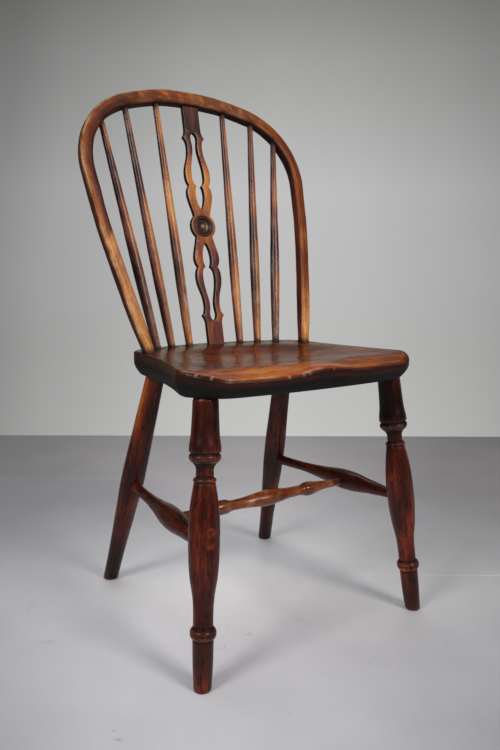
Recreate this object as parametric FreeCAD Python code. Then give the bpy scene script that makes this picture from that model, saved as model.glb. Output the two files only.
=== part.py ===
import FreeCAD, Part
import math
import os

from FreeCAD import Matrix, Placement, Rotation, Vector

# Wheelback side chair, a hoop back Windsor chair.
# Millimetres, +Z up, front towards -Y, +X to the right seen from the front.
# The origin lies on the floor, midway across and midway along the chair.

# Seat board
SEAT_HEIGHT = 440.0          # floor to the flat top of the board
SEAT_THICKNESS = 40.0
SEAT_FRONT_Y = -210.0        # front edge on the centre line
SEAT_FRONT_END_X = 166.0     # where the front edge meets its corner
SEAT_FRONT_BOW = 9.0         # how far the front edge bulges forward
SEAT_WIDE_X = 216.0          # half width at the front corners
SEAT_WIDE_Y = -148.0
SEAT_CORNER_SOFT = 7.5       # how far a front corner stands out past its chord
SEAT_CORNER_FADE = 0.3       # how much of the inset the corner loses on the underside
SEAT_WAIST_X = 187.0         # half width at the middle
SEAT_WAIST_Y = -36.0
SEAT_REAR_X = 176.0          # half width at the rear corners
SEAT_REAR_Y = 64.0
SEAT_BACK_X = 146.0          # where the rear edge meets its corner
SEAT_BACK_Y = 131.0          # rear edge on the centre line
SEAT_BACK_BOW = 27.0
SEAT_REAR_SOFT = 9.0
SEAT_SIDE_BEVEL = 11.0       # inset of the underside
SEAT_BEVEL_HEIGHT = 22.0
SEAT_TOP_ROUND = 3.0

# Saddle carved in the top of the seat
DISH_DEPTH = 11.0
DISH_CENTRE_Y = -46.0
DISH_HALF_WIDTH = 188.0
DISH_HALF_LENGTH = 128.0
DISH_FLOOR = 0.30            # part of the dish that is nearly level
POMMEL_HALF_WIDTH = 45.0
POMMEL_LIFT = 3.0
CREST_Y = -150.0             # line where the dish turns down towards the front
CREST_DROP = 3.5
THIGH_X = 155.0              # a thigh slope keeps its full depth out to here
THIGH_FADE = 80.0            # and has run out this much further
THIGH_DROP = 16.5
POMMEL_DROP = 5.5
SADDLE_LIFT = 0.7            # the carving runs out this far above the flat rim
SADDLE_ROLL = 1.6            # how late the front turns down: 1 is an even slope
SADDLE_COLUMNS = 40          # spacing of the surface's points
SADDLE_ROWS = 24

# Back hoop: centre line drawn in a plane that leans back from the seat
HOOP_LEAN = 18.7             # degrees from upright
HOOP_FOOT_X = 159.0          # half spacing at the seat top
HOOP_FOOT_Y = 51.0
HOOP_RISE = 463.0            # seat top to the middle of the crown, along the plane
HOOP_WIDE_X = 215.5          # half width at the shoulders
SHOULDER_RADIUS = 125.0
CROWN_RADIUS = 430.0
LIMB_RADIUS = 2400.0
LIMB_FACE = 20.5             # width seen from the front
LIMB_DEPTH = 22.0
CROWN_FACE = 27.0
CROWN_DEPTH = 20.5
HOOP_FOOT_DIAMETER = 20.5
HOOP_TAPER_LENGTH = 60.0     # over which a limb turns round towards its foot
HOOP_CORNER = 6.0            # rounding of the hoop's section
HOOP_LEAST_FLAT = 0.8        # straight side left between two rounded corners
HOOP_EVEN_SHARE = 0.35       # share of the way to the crown with an even section
HOOP_TENON_DIAMETER = 18.0   # runs right through the seat
HOOP_STATION = 22.0          # about how far apart the sections are drawn
WEDGE_LENGTH = 24.0
WEDGE_HEAD = 3.4
WEDGE_TIP = 1.2

# Spindles: place on the seat, and place where each axis meets the hoop's centre line
SPINDLE_NAMES = ("inner", "middle", "outer")
SPINDLE_SEAT_X = (53.4, 90.6, 124.3)
SPINDLE_SEAT_Y = (107.7, 104.0, 92.0)
SPINDLE_HOOP_X = (69.5, 131.0, 179.5)
SPINDLE_FOOT_DIAMETER = 13.4
SPINDLE_BELLY_DIAMETER = 17.8
SPINDLE_BELLY_HEIGHT = 135.0
SPINDLE_TOP_DIAMETER = 10.8
SPINDLE_PLAIN_TOP = 40.0     # even length below the hoop's centre line
SPINDLE_SEAT_DEPTH = 14.0
SPINDLE_HOOP_STOP = 2.0      # the upper end stops this short of the hoop's centre line

# Pierced splat with a turned roundel let into its middle
SPLAT_SEAT_Y = 105.6
SPLAT_THICKNESS = 9.0
SPLAT_LENGTH = 430.0         # seat top to hoop, over the drawn outline
SPLAT_TAB = 16.0             # half width of the plain ends
SPLAT_TAB_HEIGHT = 37.0
SPLAT_EAR = 22.0
SPLAT_EAR_HEIGHT = 52.0
SPLAT_WAIST = 15.2
SPLAT_WAIST_HEIGHT = 71.0
SPLAT_BULGE = 25.4
SPLAT_BULGE_DROP = 94.0      # drops are measured from the middle of the roundel
SPLAT_CUSP = 20.0
SPLAT_CUSP_DROP = 74.5
SPLAT_SHORT_BULGE_DROP = 59.0
SPLAT_NECK = 16.2
SPLAT_RIM_RADIUS = 24.6      # the round middle that holds the roundel
PIERCE_LOW = 42.0            # lower point of the long piercing
PIERCE_CHEEK = 6.8
PIERCE_CHEEK_HEIGHT = 52.0
PIERCE_WAIST = 5.0
PIERCE_WAIST_HEIGHT = 70.0
PIERCE_BULGE = 12.8
PIERCE_CUSP = 5.2
PIERCE_HALF_WIDTH = 8.9      # short piercing beside the roundel
PIERCE_END_DROP = 30.0
SPLAT_SEAT_DEPTH = 14.0
SPLAT_HOOP_STOP = 3.0
ROUNDEL_RADIUS = 19.6
ROUNDEL_EASE = 0.5           # eased outer edge
ROUNDEL_BEAD = 1.6           # width of the bead at its edge
ROUNDEL_GROOVE = 1.2         # width of the groove inside the bead
ROUNDEL_GROOVE_DEPTH = 0.9
ROUNDEL_BORDER_RADIUS = 15.6
ROUNDEL_BORDER_STEP = 0.8    # step from the border down into the hollow
ROUNDEL_RING_RADIUS = 11.0
ROUNDEL_RING_HALF = 0.8
ROUNDEL_RING_RISE = 0.8
ROUNDEL_HOLLOW_RADIUS = 6.6
ROUNDEL_DEPTH = 3.8
ROUNDEL_FLOOR_SLOPE = 0.4    # fall of the floor from the ring to the boss
BOSS_RADIUS = 3.8
BOSS_RISE = 3.0

# Legs: axis at the floor and at the underside of the seat
FRONT_FOOT = (207.6, -198.7)
FRONT_HEAD = (174.3, -156.0)
REAR_FOOT = (177.0, 198.8)
REAR_HEAD = (134.2, 78.2)
LEG_TENON_DIAMETER = 26.0
LEG_TENON_LENGTH = 20.0

# Front leg turning: radii, with heights from the floor or drops from the seat
FOOT_RADIUS = 12.8
ANKLE_RADIUS = 15.0
ANKLE_HEIGHT = 69.0
FOOT_RING_RADIUS = 18.8
FOOT_RING_HEIGHT = 80.0
FOOT_RING_HALF = 7.5
VASE_NECK_RADIUS = 14.4
VASE_NECK_HEIGHT = 98.0
VASE_RADIUS = 22.4
VASE_HEIGHT = 202.0
VASE_TOP_RADIUS = 15.4
VASE_TOP_DROP = 118.0
COLLAR_RADIUS = 16.4
COLLAR_DROP = 113.5
COLLAR_HALF = 2.6
COLLAR_FOOT_RADIUS = 14.8
NECK_RADIUS = 12.5
NECK_DROP = 101.5
CUSHION_RADIUS = 22.8
CUSHION_DROP = 82.0
CUSHION_HALF = 7.5
GROOVE_RADIUS = 20.6
GROOVE_DROP = 77.0
SLEEVE_RADIUS = 22.8
SLEEVE_DROP = 72.0
SLEEVE_TOP_RADIUS = 18.4
HEAD_CHAMFER = 2.5

# Rear leg turning
REAR_FOOT_RADIUS = 13.3
REAR_SWELL_RADIUS = 20.4
REAR_SWELL_HEIGHT = 215.0
REAR_HEAD_RADIUS = 15.8

# Stretchers
STRETCHER_HEIGHT = 196.0
CROSS_SHARE = 0.62           # where the cross stretcher meets the side ones, rear to front
SIDE_END_RADIUS = 8.8
SIDE_SWELL_RADIUS = 17.8
SIDE_SWELL_REACH = 90.0      # half length of the swelling
SIDE_PLAIN_REAR = 18.0       # even length that shows beside a rear leg
SIDE_PLAIN_FRONT = 8.0
CROSS_END_RADIUS = 6.8
CROSS_BULB_RADIUS = 12.4
CROSS_BULB_PLACE = 88.0      # from the middle
CROSS_NECK_RADIUS = 9.0
CROSS_NECK_PLACE = 57.0
CROSS_SWELL_RADIUS = 13.6
CROSS_PLAIN = 12.0           # even length that shows beside a side stretcher
STRETCHER_TENON = 15.0       # how far an end goes past the leg's surface
CROSS_TENON = 12.0

FIT = 0.15                   # gap round a tenon
DEPTH_GAP = 0.5              # gap at the end of a blind socket
SPARE = 60.0                 # reach of cutting blocks past the chair

SEAT_UNDER = SEAT_HEIGHT - SEAT_THICKNESS
LEAN = math.radians(HOOP_LEAN)
ROUND_SHARE = 1 - math.sqrt(0.5)     # inset of a quarter round at its middle


def save(shape, name):
    if not shape.isValid():
        raise ValueError(name + " is not a valid solid")
    shape.exportStep("parts/" + name + ".step")
    box = shape.BoundBox
    low = [round(v, 1) for v in (box.XMin, box.YMin, box.ZMin)]
    high = [round(v, 1) for v in (box.XMax, box.YMax, box.ZMax)]
    print(name, len(shape.Solids), low, high)


def mix(a, b, share):
    """Value part of the way from a to b."""
    return a + (b - a) * share


def mirrored(shape):
    return shape.mirror(Vector(0, 0, 0), Vector(1, 0, 0))


def unit(vector):
    out = Vector(vector)
    out.normalize()
    return out


def along(start, end, distance):
    return start + unit(end - start) * distance


def rod(start, end, radius):
    return Part.makeCylinder(radius, (end - start).Length, start, end - start)


def slab(z_low, z_high):
    size = 4 * SEAT_HEIGHT
    return Part.makeBox(size, size, z_high - z_low, Vector(-size / 2, -size / 2, z_low))


def arc(a, b, c):
    return Part.Arc(a, b, c).toShape()


def spline(points):
    curve = Part.BSplineCurve()
    curve.interpolate(points)
    return curve.toShape()


def turning(runs, start, end):
    """Revolve a profile about the line from start to end. Each run is a list of
    (place along the axis, radius): two points give a line, more give a smooth curve."""
    edges = []
    for run in runs:
        points = [Vector(radius, 0, place) for place, radius in run]
        if len(points) == 2:
            edges.append(Part.makeLine(points[0], points[1]))
        else:
            edges.append(spline(points))
    first = runs[0][0]
    final = runs[-1][-1]
    low = Vector(0, 0, first[0])
    high = Vector(0, 0, final[0])
    edges.append(Part.makeLine(Vector(final[1], 0, final[0]), high))
    edges.append(Part.makeLine(high, low))
    edges.append(Part.makeLine(low, Vector(first[1], 0, first[0])))
    face = Part.Face(Part.Wire(Part.__sortEdges__(edges)))
    solid = face.revolve(Vector(0, 0, 0), Vector(0, 0, 1), 360)
    solid.Placement = Placement(start, Rotation(Vector(0, 0, 1), end - start))
    return solid


# Seat

def seat_outline(inset, z):
    """Closed wire of the board's edge, moved inwards by inset."""
    front = SEAT_FRONT_Y + inset
    back = SEAT_BACK_Y - inset
    front_end = Vector(SEAT_FRONT_END_X - inset / 2, front + SEAT_FRONT_BOW, z)
    wide = Vector(SEAT_WIDE_X - inset, SEAT_WIDE_Y + inset / 2, z)
    waist = Vector(SEAT_WAIST_X - inset, SEAT_WAIST_Y, z)
    rear = Vector(SEAT_REAR_X - inset, SEAT_REAR_Y - inset / 2, z)
    back_end = Vector(SEAT_BACK_X - inset / 2, back - SEAT_BACK_BOW, z)
    corner = (front_end + wide) / 2 + unit(Vector(1, -1, 0)) * (SEAT_CORNER_SOFT - inset * SEAT_CORNER_FADE)
    rear_corner = (rear + back_end) / 2 + unit(Vector(1, 1, 0)) * SEAT_REAR_SOFT

    def left(point):
        return Vector(-point.x, point.y, point.z)

    edges = [
        arc(left(front_end), Vector(0, front, z), front_end),
        arc(front_end, corner, wide),
        arc(wide, waist, rear),
        arc(rear, rear_corner, back_end),
        arc(back_end, Vector(0, back, z), left(back_end)),
        arc(left(back_end), left(rear_corner), left(rear)),
        arc(left(rear), left(waist), left(wide)),
        arc(left(wide), left(corner), left(front_end)),
    ]
    return Part.Wire(edges)


def ease(value):
    held = min(1.0, max(0.0, value))
    return held * held * (3 - 2 * held)


def seat_top(x, y):
    """Height of the carved top at a place on the board."""
    reach = math.hypot(x / DISH_HALF_WIDTH, (y - DISH_CENTRE_Y) / DISH_HALF_LENGTH)
    dish = DISH_DEPTH * (1 - ease((reach - DISH_FLOOR) / (1 - DISH_FLOOR)))
    ahead = ease((DISH_CENTRE_Y - y) / (DISH_CENTRE_Y - CREST_Y))
    ridge = math.exp(-(x / POMMEL_HALF_WIDTH) ** 2)
    thigh = 1 - ease((abs(x) - THIGH_X) / THIGH_FADE)
    dish -= POMMEL_LIFT * ridge * ahead * dish / DISH_DEPTH
    crest = CREST_DROP * ahead * max(thigh, ridge)
    past = max(0.0, (CREST_Y - y) / (CREST_Y - SEAT_FRONT_Y))
    roll = (THIGH_DROP - CREST_DROP) * thigh * (1 - ridge) + (POMMEL_DROP - CREST_DROP) * ridge
    return SEAT_HEIGHT + SADDLE_LIFT - dish - crest - roll * past ** SADDLE_ROLL


def saddle_cutter():
    """Everything above the carved surface."""
    side = SEAT_WIDE_X + SPARE
    rear = DISH_CENTRE_Y + DISH_HALF_LENGTH
    front = SEAT_FRONT_Y - SPARE / 2
    grid = []
    for i in range(SADDLE_COLUMNS + 1):
        x = mix(-side, side, i / SADDLE_COLUMNS)
        line = []
        for j in range(SADDLE_ROWS + 1):
            y = mix(front, rear, j / SADDLE_ROWS)
            line.append(Vector(x, y, seat_top(x, y)))
        grid.append(line)
    surface = Part.BSplineSurface()
    surface.interpolate(grid)
    return surface.toShape().extrude(Vector(0, 0, SEAT_THICKNESS))


def seat_blank():
    """Board with a bevelled underside and an eased top edge, as three stacked lofts."""
    levels = [
        (SEAT_SIDE_BEVEL, SEAT_UNDER),
        (SEAT_SIDE_BEVEL * ROUND_SHARE, SEAT_UNDER + SEAT_BEVEL_HEIGHT * 0.45),
        (0.0, SEAT_UNDER + SEAT_BEVEL_HEIGHT),
        (0.0, SEAT_HEIGHT - SEAT_TOP_ROUND),
        (SEAT_TOP_ROUND * ROUND_SHARE, SEAT_HEIGHT - SEAT_TOP_ROUND * ROUND_SHARE),
        (SEAT_TOP_ROUND, SEAT_HEIGHT),
    ]
    wires = [seat_outline(inset, z) for inset, z in levels]
    return Part.makeLoft(wires, True, True)


# Hoop

def hoop_frame():
    """Centres and joints of the three tangent arcs, as (x, s) in the leaning plane."""
    crown = (0.0, HOOP_RISE - CROWN_RADIUS)
    shoulder_x = HOOP_WIDE_X - SHOULDER_RADIUS
    gap = CROWN_RADIUS - SHOULDER_RADIUS
    shoulder = (shoulder_x, crown[1] + math.sqrt(gap * gap - shoulder_x * shoulder_x))
    foot = (HOOP_FOOT_X, 0.0)
    near = LIMB_RADIUS - SHOULDER_RADIUS
    apart = math.dist(foot, shoulder)
    reach = (LIMB_RADIUS ** 2 - near ** 2 + apart ** 2) / (2 * apart)
    rise = math.sqrt(LIMB_RADIUS ** 2 - reach ** 2)
    ux = (shoulder[0] - foot[0]) / apart
    us = (shoulder[1] - foot[1]) / apart
    limb = (foot[0] + reach * ux - rise * us, foot[1] + reach * us + rise * ux)
    high = tuple(c + SHOULDER_RADIUS * (c - d) / gap for c, d in zip(shoulder, crown))
    low = tuple(c + SHOULDER_RADIUS * (c - d) / near for c, d in zip(shoulder, limb))
    return crown, shoulder, limb, high, low


def hoop_height(x):
    """Distance up the plane of the upper centre line at a half width x."""
    crown, shoulder, limb, high, low = hoop_frame()
    if x <= high[0]:
        return crown[1] + math.sqrt(CROWN_RADIUS ** 2 - x * x)
    return shoulder[1] + math.sqrt(SHOULDER_RADIUS ** 2 - (x - shoulder[0]) ** 2)


def in_hoop_plane(x, s, n=0.0):
    """Place in the leaning plane, n towards the back."""
    y = HOOP_FOOT_Y + s * math.sin(LEAN) + n * math.cos(LEAN)
    return Vector(x, y, SEAT_HEIGHT + s * math.cos(LEAN) - n * math.sin(LEAN))


def hoop_stations():
    """Centre line stations from the right foot to the crown: (x, s, turn, distance)."""
    crown, shoulder, limb, high, low = hoop_frame()
    stations = []
    travelled = 0.0
    pieces = [
        (limb, LIMB_RADIUS, math.atan2(-limb[1], HOOP_FOOT_X - limb[0]),
         math.atan2(low[1] - limb[1], low[0] - limb[0])),
        (shoulder, SHOULDER_RADIUS, math.atan2(low[1] - shoulder[1], low[0] - shoulder[0]),
         math.atan2(high[1] - shoulder[1], high[0] - shoulder[0])),
        (crown, CROWN_RADIUS, math.atan2(high[1] - crown[1], high[0]), math.pi / 2),
    ]
    for centre, radius, start, end in pieces:
        count = max(2, round(radius * (end - start) / HOOP_STATION))
        for i in range(count):
            angle = start + (end - start) * i / count
            place = travelled + radius * (angle - start)
            stations.append((centre[0] + radius * math.cos(angle),
                             centre[1] + radius * math.sin(angle), angle, place))
        travelled += radius * (end - start)
    stations.append((0.0, HOOP_RISE, math.pi / 2, travelled))
    return stations


def hoop_section(x, s, turn, face, depth, corner):
    """Rounded rectangle square to the centre line: face across it, depth along n."""
    ax = Vector(math.cos(turn), math.sin(turn) * math.sin(LEAN), math.sin(turn) * math.cos(LEAN))
    back = Vector(0, math.cos(LEAN), -math.sin(LEAN))
    centre = in_hoop_plane(x, s)
    half = face / 2
    thick = depth / 2
    radius = min(corner, half - HOOP_LEAST_FLAT / 2, thick - HOOP_LEAST_FLAT / 2)
    bite = radius * ROUND_SHARE

    def at(u, v):
        return centre + ax * u + back * v

    edges = []
    for su, sv, turned in ((1, 1, False), (-1, 1, True), (-1, -1, False), (1, -1, True)):
        on_side = at(su * half, sv * (thick - radius))
        on_end = at(su * (half - radius), sv * thick)
        middle = at(su * (half - bite), sv * (thick - bite))
        pair = (on_end, on_side) if turned else (on_side, on_end)
        edges.append(arc(pair[0], middle, pair[1]))
    joined = []
    for i, edge in enumerate(edges):
        joined.append(edge)
        following = edges[(i + 1) % 4]
        joined.append(Part.makeLine(edge.Vertexes[-1].Point, following.Vertexes[0].Point))
    return Part.Wire(joined)


def hoop_body():
    """Right half, drawn one station past the crown so that the halves meet smoothly, and its mirror."""
    stations = hoop_stations()
    total = stations[-1][3]
    half_loop = []
    for x, s, turn, place in stations:
        share = ease((place / total - HOOP_EVEN_SHARE) / (1 - HOOP_EVEN_SHARE))
        round_off = 1 - ease(place / HOOP_TAPER_LENGTH)
        face = mix(mix(LIMB_FACE, CROWN_FACE, share), HOOP_FOOT_DIAMETER, round_off)
        depth = mix(mix(LIMB_DEPTH, CROWN_DEPTH, share), HOOP_FOOT_DIAMETER, round_off)
        corner = mix(HOOP_CORNER, HOOP_FOOT_DIAMETER / 2, round_off)
        half_loop.append((x, s, turn, face, depth, corner))
    x, s, turn, face, depth, corner = half_loop[0]
    dip = HOOP_FOOT_DIAMETER
    below = (x + dip * math.sin(turn), s - dip * math.cos(turn), turn, face, depth, corner)
    x, s, turn, face, depth, corner = half_loop[-2]
    past = (-x, s, math.pi - turn, face, depth, corner)
    wires = [hoop_section(*station) for station in [below] + half_loop + [past]]
    size = 2 * SEAT_HEIGHT
    kept = Part.makeBox(size, 2 * size, size, Vector(0, -size, SEAT_HEIGHT))
    right = Part.makeLoft(wires, True, False).common(kept)
    return right.fuse(mirrored(right))


def hoop_tenon_line():
    """Axis of the right tenon, from inside the limb down to the seat's underside."""
    x, s, turn, place = hoop_stations()[0]
    foot = in_hoop_plane(x, s)
    down = in_hoop_plane(x + math.sin(turn), s - math.cos(turn)) - foot
    depth = SEAT_THICKNESS / -down.z
    return foot, down, foot + down * depth


def hoop_tenon(radius, below):
    foot, down, under = hoop_tenon_line()
    return rod(foot - down * HOOP_FOOT_DIAMETER / 2, under + down * below, radius)


def hoop_wedge(gap):
    """Wedge driven up into the tenon, flush with the seat's underside."""
    foot, down, under = hoop_tenon_line()
    side = Vector(1, 0, 0)
    side = unit(side - down * side.dot(down))
    across = down.cross(side)
    head = WEDGE_HEAD / 2 + gap
    tip = WEDGE_TIP / 2 + gap
    over = HOOP_TENON_DIAMETER / 4
    broad = HOOP_TENON_DIAMETER / 2
    slope = (WEDGE_HEAD - WEDGE_TIP) / 2 / WEDGE_LENGTH
    low = under + down * over
    high = under - down * (WEDGE_LENGTH + gap)
    corners = [low + side * (head + slope * over), high + side * tip, high - side * tip,
               low - side * (head + slope * over)]
    start = across * -broad
    face = Part.Face(Part.makePolygon([c + start for c in corners + corners[:1]]))
    wedge = face.extrude(across * (2 * broad))
    return wedge.common(hoop_tenon(HOOP_TENON_DIAMETER / 2 + gap, over)).cut(slab(0, SEAT_UNDER))


# Spindles

def spindle_line(i):
    """Axis of a right spindle: on the seat top, and at the hoop's centre line."""
    low = Vector(SPINDLE_SEAT_X[i], SPINDLE_SEAT_Y[i], SEAT_HEIGHT)
    return low, in_hoop_plane(SPINDLE_HOOP_X[i], hoop_height(SPINDLE_HOOP_X[i]))


def spindle(i):
    low, high = spindle_line(i)
    length = (high - low).Length
    foot = SPINDLE_FOOT_DIAMETER / 2
    belly = SPINDLE_BELLY_DIAMETER / 2
    top = SPINDLE_TOP_DIAMETER / 2
    neck = length - SPINDLE_PLAIN_TOP
    body = [
        (0, foot),
        (SPINDLE_BELLY_HEIGHT * 0.35, mix(foot, belly, 0.52)),
        (SPINDLE_BELLY_HEIGHT, belly),
        (mix(SPINDLE_BELLY_HEIGHT, neck, 0.5), mix(top, belly, 0.52)),
        (neck, top),
    ]
    runs = [
        [(-SPINDLE_SEAT_DEPTH, foot), (0, foot)],
        body,
        [(neck, top), (length - SPINDLE_HOOP_STOP, top)],
    ]
    return turning(runs, low, high)


def spindle_seat_socket(i):
    low, high = spindle_line(i)
    deep = SPINDLE_SEAT_DEPTH + DEPTH_GAP
    return rod(along(low, high, -deep), along(low, high, SEAT_THICKNESS / 4),
               SPINDLE_FOOT_DIAMETER / 2 + FIT)


def spindle_hoop_socket(i):
    low, high = spindle_line(i)
    return rod(along(high, low, CROWN_FACE), along(high, low, SPINDLE_HOOP_STOP - DEPTH_GAP),
               SPINDLE_TOP_DIAMETER / 2 + FIT)


# Splat and roundel

def splat_placement():
    """The drawn outline stands on the seat with its top at the crown of the hoop."""
    foot = Vector(0, SPLAT_SEAT_Y, SEAT_HEIGHT)
    up = unit(in_hoop_plane(0, HOOP_RISE) - foot)
    front = up.cross(Vector(-1, 0, 0))
    matrix = Matrix(1, 0, front.x, foot.x,
                    0, up.y, front.y, foot.y,
                    0, up.z, front.z, foot.z,
                    0, 0, 0, 1)
    return Placement(matrix)


def splat_top():
    foot = Vector(0, SPLAT_SEAT_Y, SEAT_HEIGHT)
    return (in_hoop_plane(0, HOOP_RISE) - foot).Length - SPLAT_HOOP_STOP


def between(a, b, across, up):
    """Point part of the way from a to b, by its own share in each direction."""
    return Vector(mix(a.x, b.x, across), mix(a.y, b.y, up), 0)


def splat_side():
    """Right edge of the lower half, from the seat to the round middle."""
    tab = Vector(SPLAT_TAB, SPLAT_TAB_HEIGHT, 0)
    ear = Vector(SPLAT_EAR, SPLAT_EAR_HEIGHT, 0)
    waist = Vector(SPLAT_WAIST, SPLAT_WAIST_HEIGHT, 0)
    middle = SPLAT_LENGTH / 2
    bulge = Vector(SPLAT_BULGE, middle - SPLAT_BULGE_DROP, 0)
    cusp = Vector(SPLAT_CUSP, middle - SPLAT_CUSP_DROP, 0)
    short = Vector(SPLAT_BULGE, middle - SPLAT_SHORT_BULGE_DROP, 0)
    drop = math.sqrt(SPLAT_RIM_RADIUS ** 2 - SPLAT_NECK ** 2)
    neck = Vector(SPLAT_NECK, middle - drop, 0)
    return [
        Part.makeLine(Vector(SPLAT_TAB, -SPLAT_SEAT_DEPTH, 0), tab),
        arc(tab, between(tab, ear, 0.3, 0.55), ear),
        spline([ear, between(ear, waist, 0.68, 0.29), between(ear, waist, 0.97, 0.65), waist,
                between(waist, bulge, 0.33, 0.42), between(waist, bulge, 0.85, 0.74), bulge,
                between(bulge, cusp, 0.22, 0.56), cusp]),
        spline([cusp, between(cusp, short, 0.72, 0.42), short, between(short, neck, 0.2, 0.3),
                between(short, neck, 0.62, 0.64), neck]),
    ]


def pierce_side():
    """Right edge of the piercing in the lower half."""
    low = Vector(0, PIERCE_LOW, 0)
    cheek = Vector(PIERCE_CHEEK, PIERCE_CHEEK_HEIGHT, 0)
    waist = Vector(PIERCE_WAIST, PIERCE_WAIST_HEIGHT, 0)
    middle = SPLAT_LENGTH / 2
    bulge = Vector(PIERCE_BULGE, middle - SPLAT_BULGE_DROP, 0)
    cusp = Vector(PIERCE_CUSP, middle - SPLAT_CUSP_DROP, 0)
    wide = Vector(PIERCE_HALF_WIDTH, middle - SPLAT_SHORT_BULGE_DROP, 0)
    high = Vector(0, middle - PIERCE_END_DROP, 0)
    return [
        spline([low, between(low, cheek, 0.68, 0.36), cheek, between(cheek, waist, 0.5, 0.5), waist,
                between(waist, bulge, 0.22, 0.28), between(waist, bulge, 0.70, 0.60), bulge,
                between(bulge, cusp, 0.35, 0.76), cusp]),
        spline([cusp, between(cusp, wide, 0.72, 0.42), wide, between(wide, high, 0.16, 0.43),
                between(wide, high, 0.52, 0.78), high]),
    ]


def flipped(edges):
    """The same edges upside down about the middle of the splat."""
    shape = Part.Compound(edges)
    return shape.mirror(Vector(0, SPLAT_LENGTH / 2, 0), Vector(0, 1, 0)).Edges


def opposite(edges):
    return mirrored(Part.Compound(edges)).Edges


def splat_solid():
    side = splat_side()
    middle = SPLAT_LENGTH / 2
    neck_low = side[-1].Vertexes[-1].Point
    right = side[1:] + flipped(side[1:])
    right.append(side[0])
    upper_tab = Vector(SPLAT_TAB, SPLAT_LENGTH - SPLAT_TAB_HEIGHT, 0)
    right.append(Part.makeLine(upper_tab, Vector(SPLAT_TAB, splat_top(), 0)))
    right.append(arc(neck_low, Vector(SPLAT_RIM_RADIUS, middle, 0),
                     Vector(neck_low.x, 2 * middle - neck_low.y, 0)))
    edges = right + opposite(right)
    edges.append(Part.makeLine(Vector(-SPLAT_TAB, -SPLAT_SEAT_DEPTH, 0),
                               Vector(SPLAT_TAB, -SPLAT_SEAT_DEPTH, 0)))
    edges.append(Part.makeLine(Vector(-SPLAT_TAB, splat_top(), 0), Vector(SPLAT_TAB, splat_top(), 0)))
    face = Part.Face(Part.Wire(Part.__sortEdges__(edges)))
    half_thick = Vector(0, 0, -SPLAT_THICKNESS / 2)
    board = face.extrude(Vector(0, 0, SPLAT_THICKNESS))
    inner = pierce_side()
    for half in (inner, flipped(inner)):
        loop = Part.Wire(Part.__sortEdges__(half + opposite(half)))
        board = board.cut(Part.Face(loop).extrude(Vector(0, 0, SPLAT_THICKNESS)))
    hole = Part.makeCylinder(ROUNDEL_RADIUS + FIT, SPLAT_THICKNESS, Vector(0, middle, 0))
    board = board.cut(hole)
    board.translate(half_thick)
    board.Placement = splat_placement().multiply(board.Placement)
    return board


def roundel():
    """Turned disc with a bead, a border, a hollow and a centre boss on its front."""
    face = SPLAT_THICKNESS
    floor = face - ROUNDEL_DEPTH
    bead = ROUNDEL_RADIUS - ROUNDEL_BEAD
    lip = face - ROUNDEL_BORDER_STEP * 0.4
    border = (ROUNDEL_BORDER_RADIUS - ROUNDEL_BORDER_STEP, lip - ROUNDEL_BORDER_STEP)
    ring_floor = floor + ROUNDEL_FLOOR_SLOPE
    ring_outer = (ROUNDEL_RING_RADIUS + ROUNDEL_RING_HALF, ring_floor)
    ring_inner = (ROUNDEL_RING_RADIUS - ROUNDEL_RING_HALF, ring_floor)
    points = [
        (0, 0), (ROUNDEL_RADIUS, 0), (ROUNDEL_RADIUS, face - ROUNDEL_EASE),
        (ROUNDEL_RADIUS - ROUNDEL_EASE, face), (bead, face),
        (bead - ROUNDEL_GROOVE / 2, face - ROUNDEL_GROOVE_DEPTH), (bead - ROUNDEL_GROOVE, lip),
        (ROUNDEL_BORDER_RADIUS, lip), border,
    ]
    hollow = [border, (mix(border[0], ring_outer[0], 0.72), mix(border[1], ring_floor, 0.9)), ring_outer]
    ring = [ring_outer, (ROUNDEL_RING_RADIUS, ring_floor + ROUNDEL_RING_RISE), ring_inner]
    well = [ring_inner, (ROUNDEL_HOLLOW_RADIUS, floor), (BOSS_RADIUS, floor)]
    ball = (BOSS_RADIUS ** 2 + BOSS_RISE ** 2) / (2 * BOSS_RISE)
    half_way = math.atan2(BOSS_RISE, BOSS_RADIUS)
    boss = [(BOSS_RADIUS, floor),
            (ball * math.sin(half_way), floor + BOSS_RISE - ball * (1 - math.cos(half_way))),
            (0, floor + BOSS_RISE)]
    edges = []
    for run in (points, ring, well):
        for a, b in zip(run, run[1:]):
            edges.append(Part.makeLine(Vector(a[0], 0, a[1]), Vector(b[0], 0, b[1])))
    for run in (hollow, boss):
        edges.append(arc(*[Vector(r, 0, z) for r, z in run]))
    edges.append(Part.makeLine(Vector(0, 0, floor + BOSS_RISE), Vector(0, 0, 0)))
    profile = Part.Face(Part.Wire(Part.__sortEdges__(edges)))
    disc = profile.revolve(Vector(0, 0, 0), Vector(0, 0, 1), 360)
    centre = Placement(Vector(0, SPLAT_LENGTH / 2, -SPLAT_THICKNESS / 2), Rotation())
    disc.Placement = splat_placement().multiply(centre)
    return disc


# Legs and stretchers

def leg_line(foot, head):
    """Axis of a right leg from the floor to the underside of the seat."""
    return Vector(foot[0], foot[1], 0), Vector(head[0], head[1], SEAT_UNDER)


FRONT_LINE = leg_line(FRONT_FOOT, FRONT_HEAD)
REAR_LINE = leg_line(REAR_FOOT, REAR_HEAD)


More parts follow.
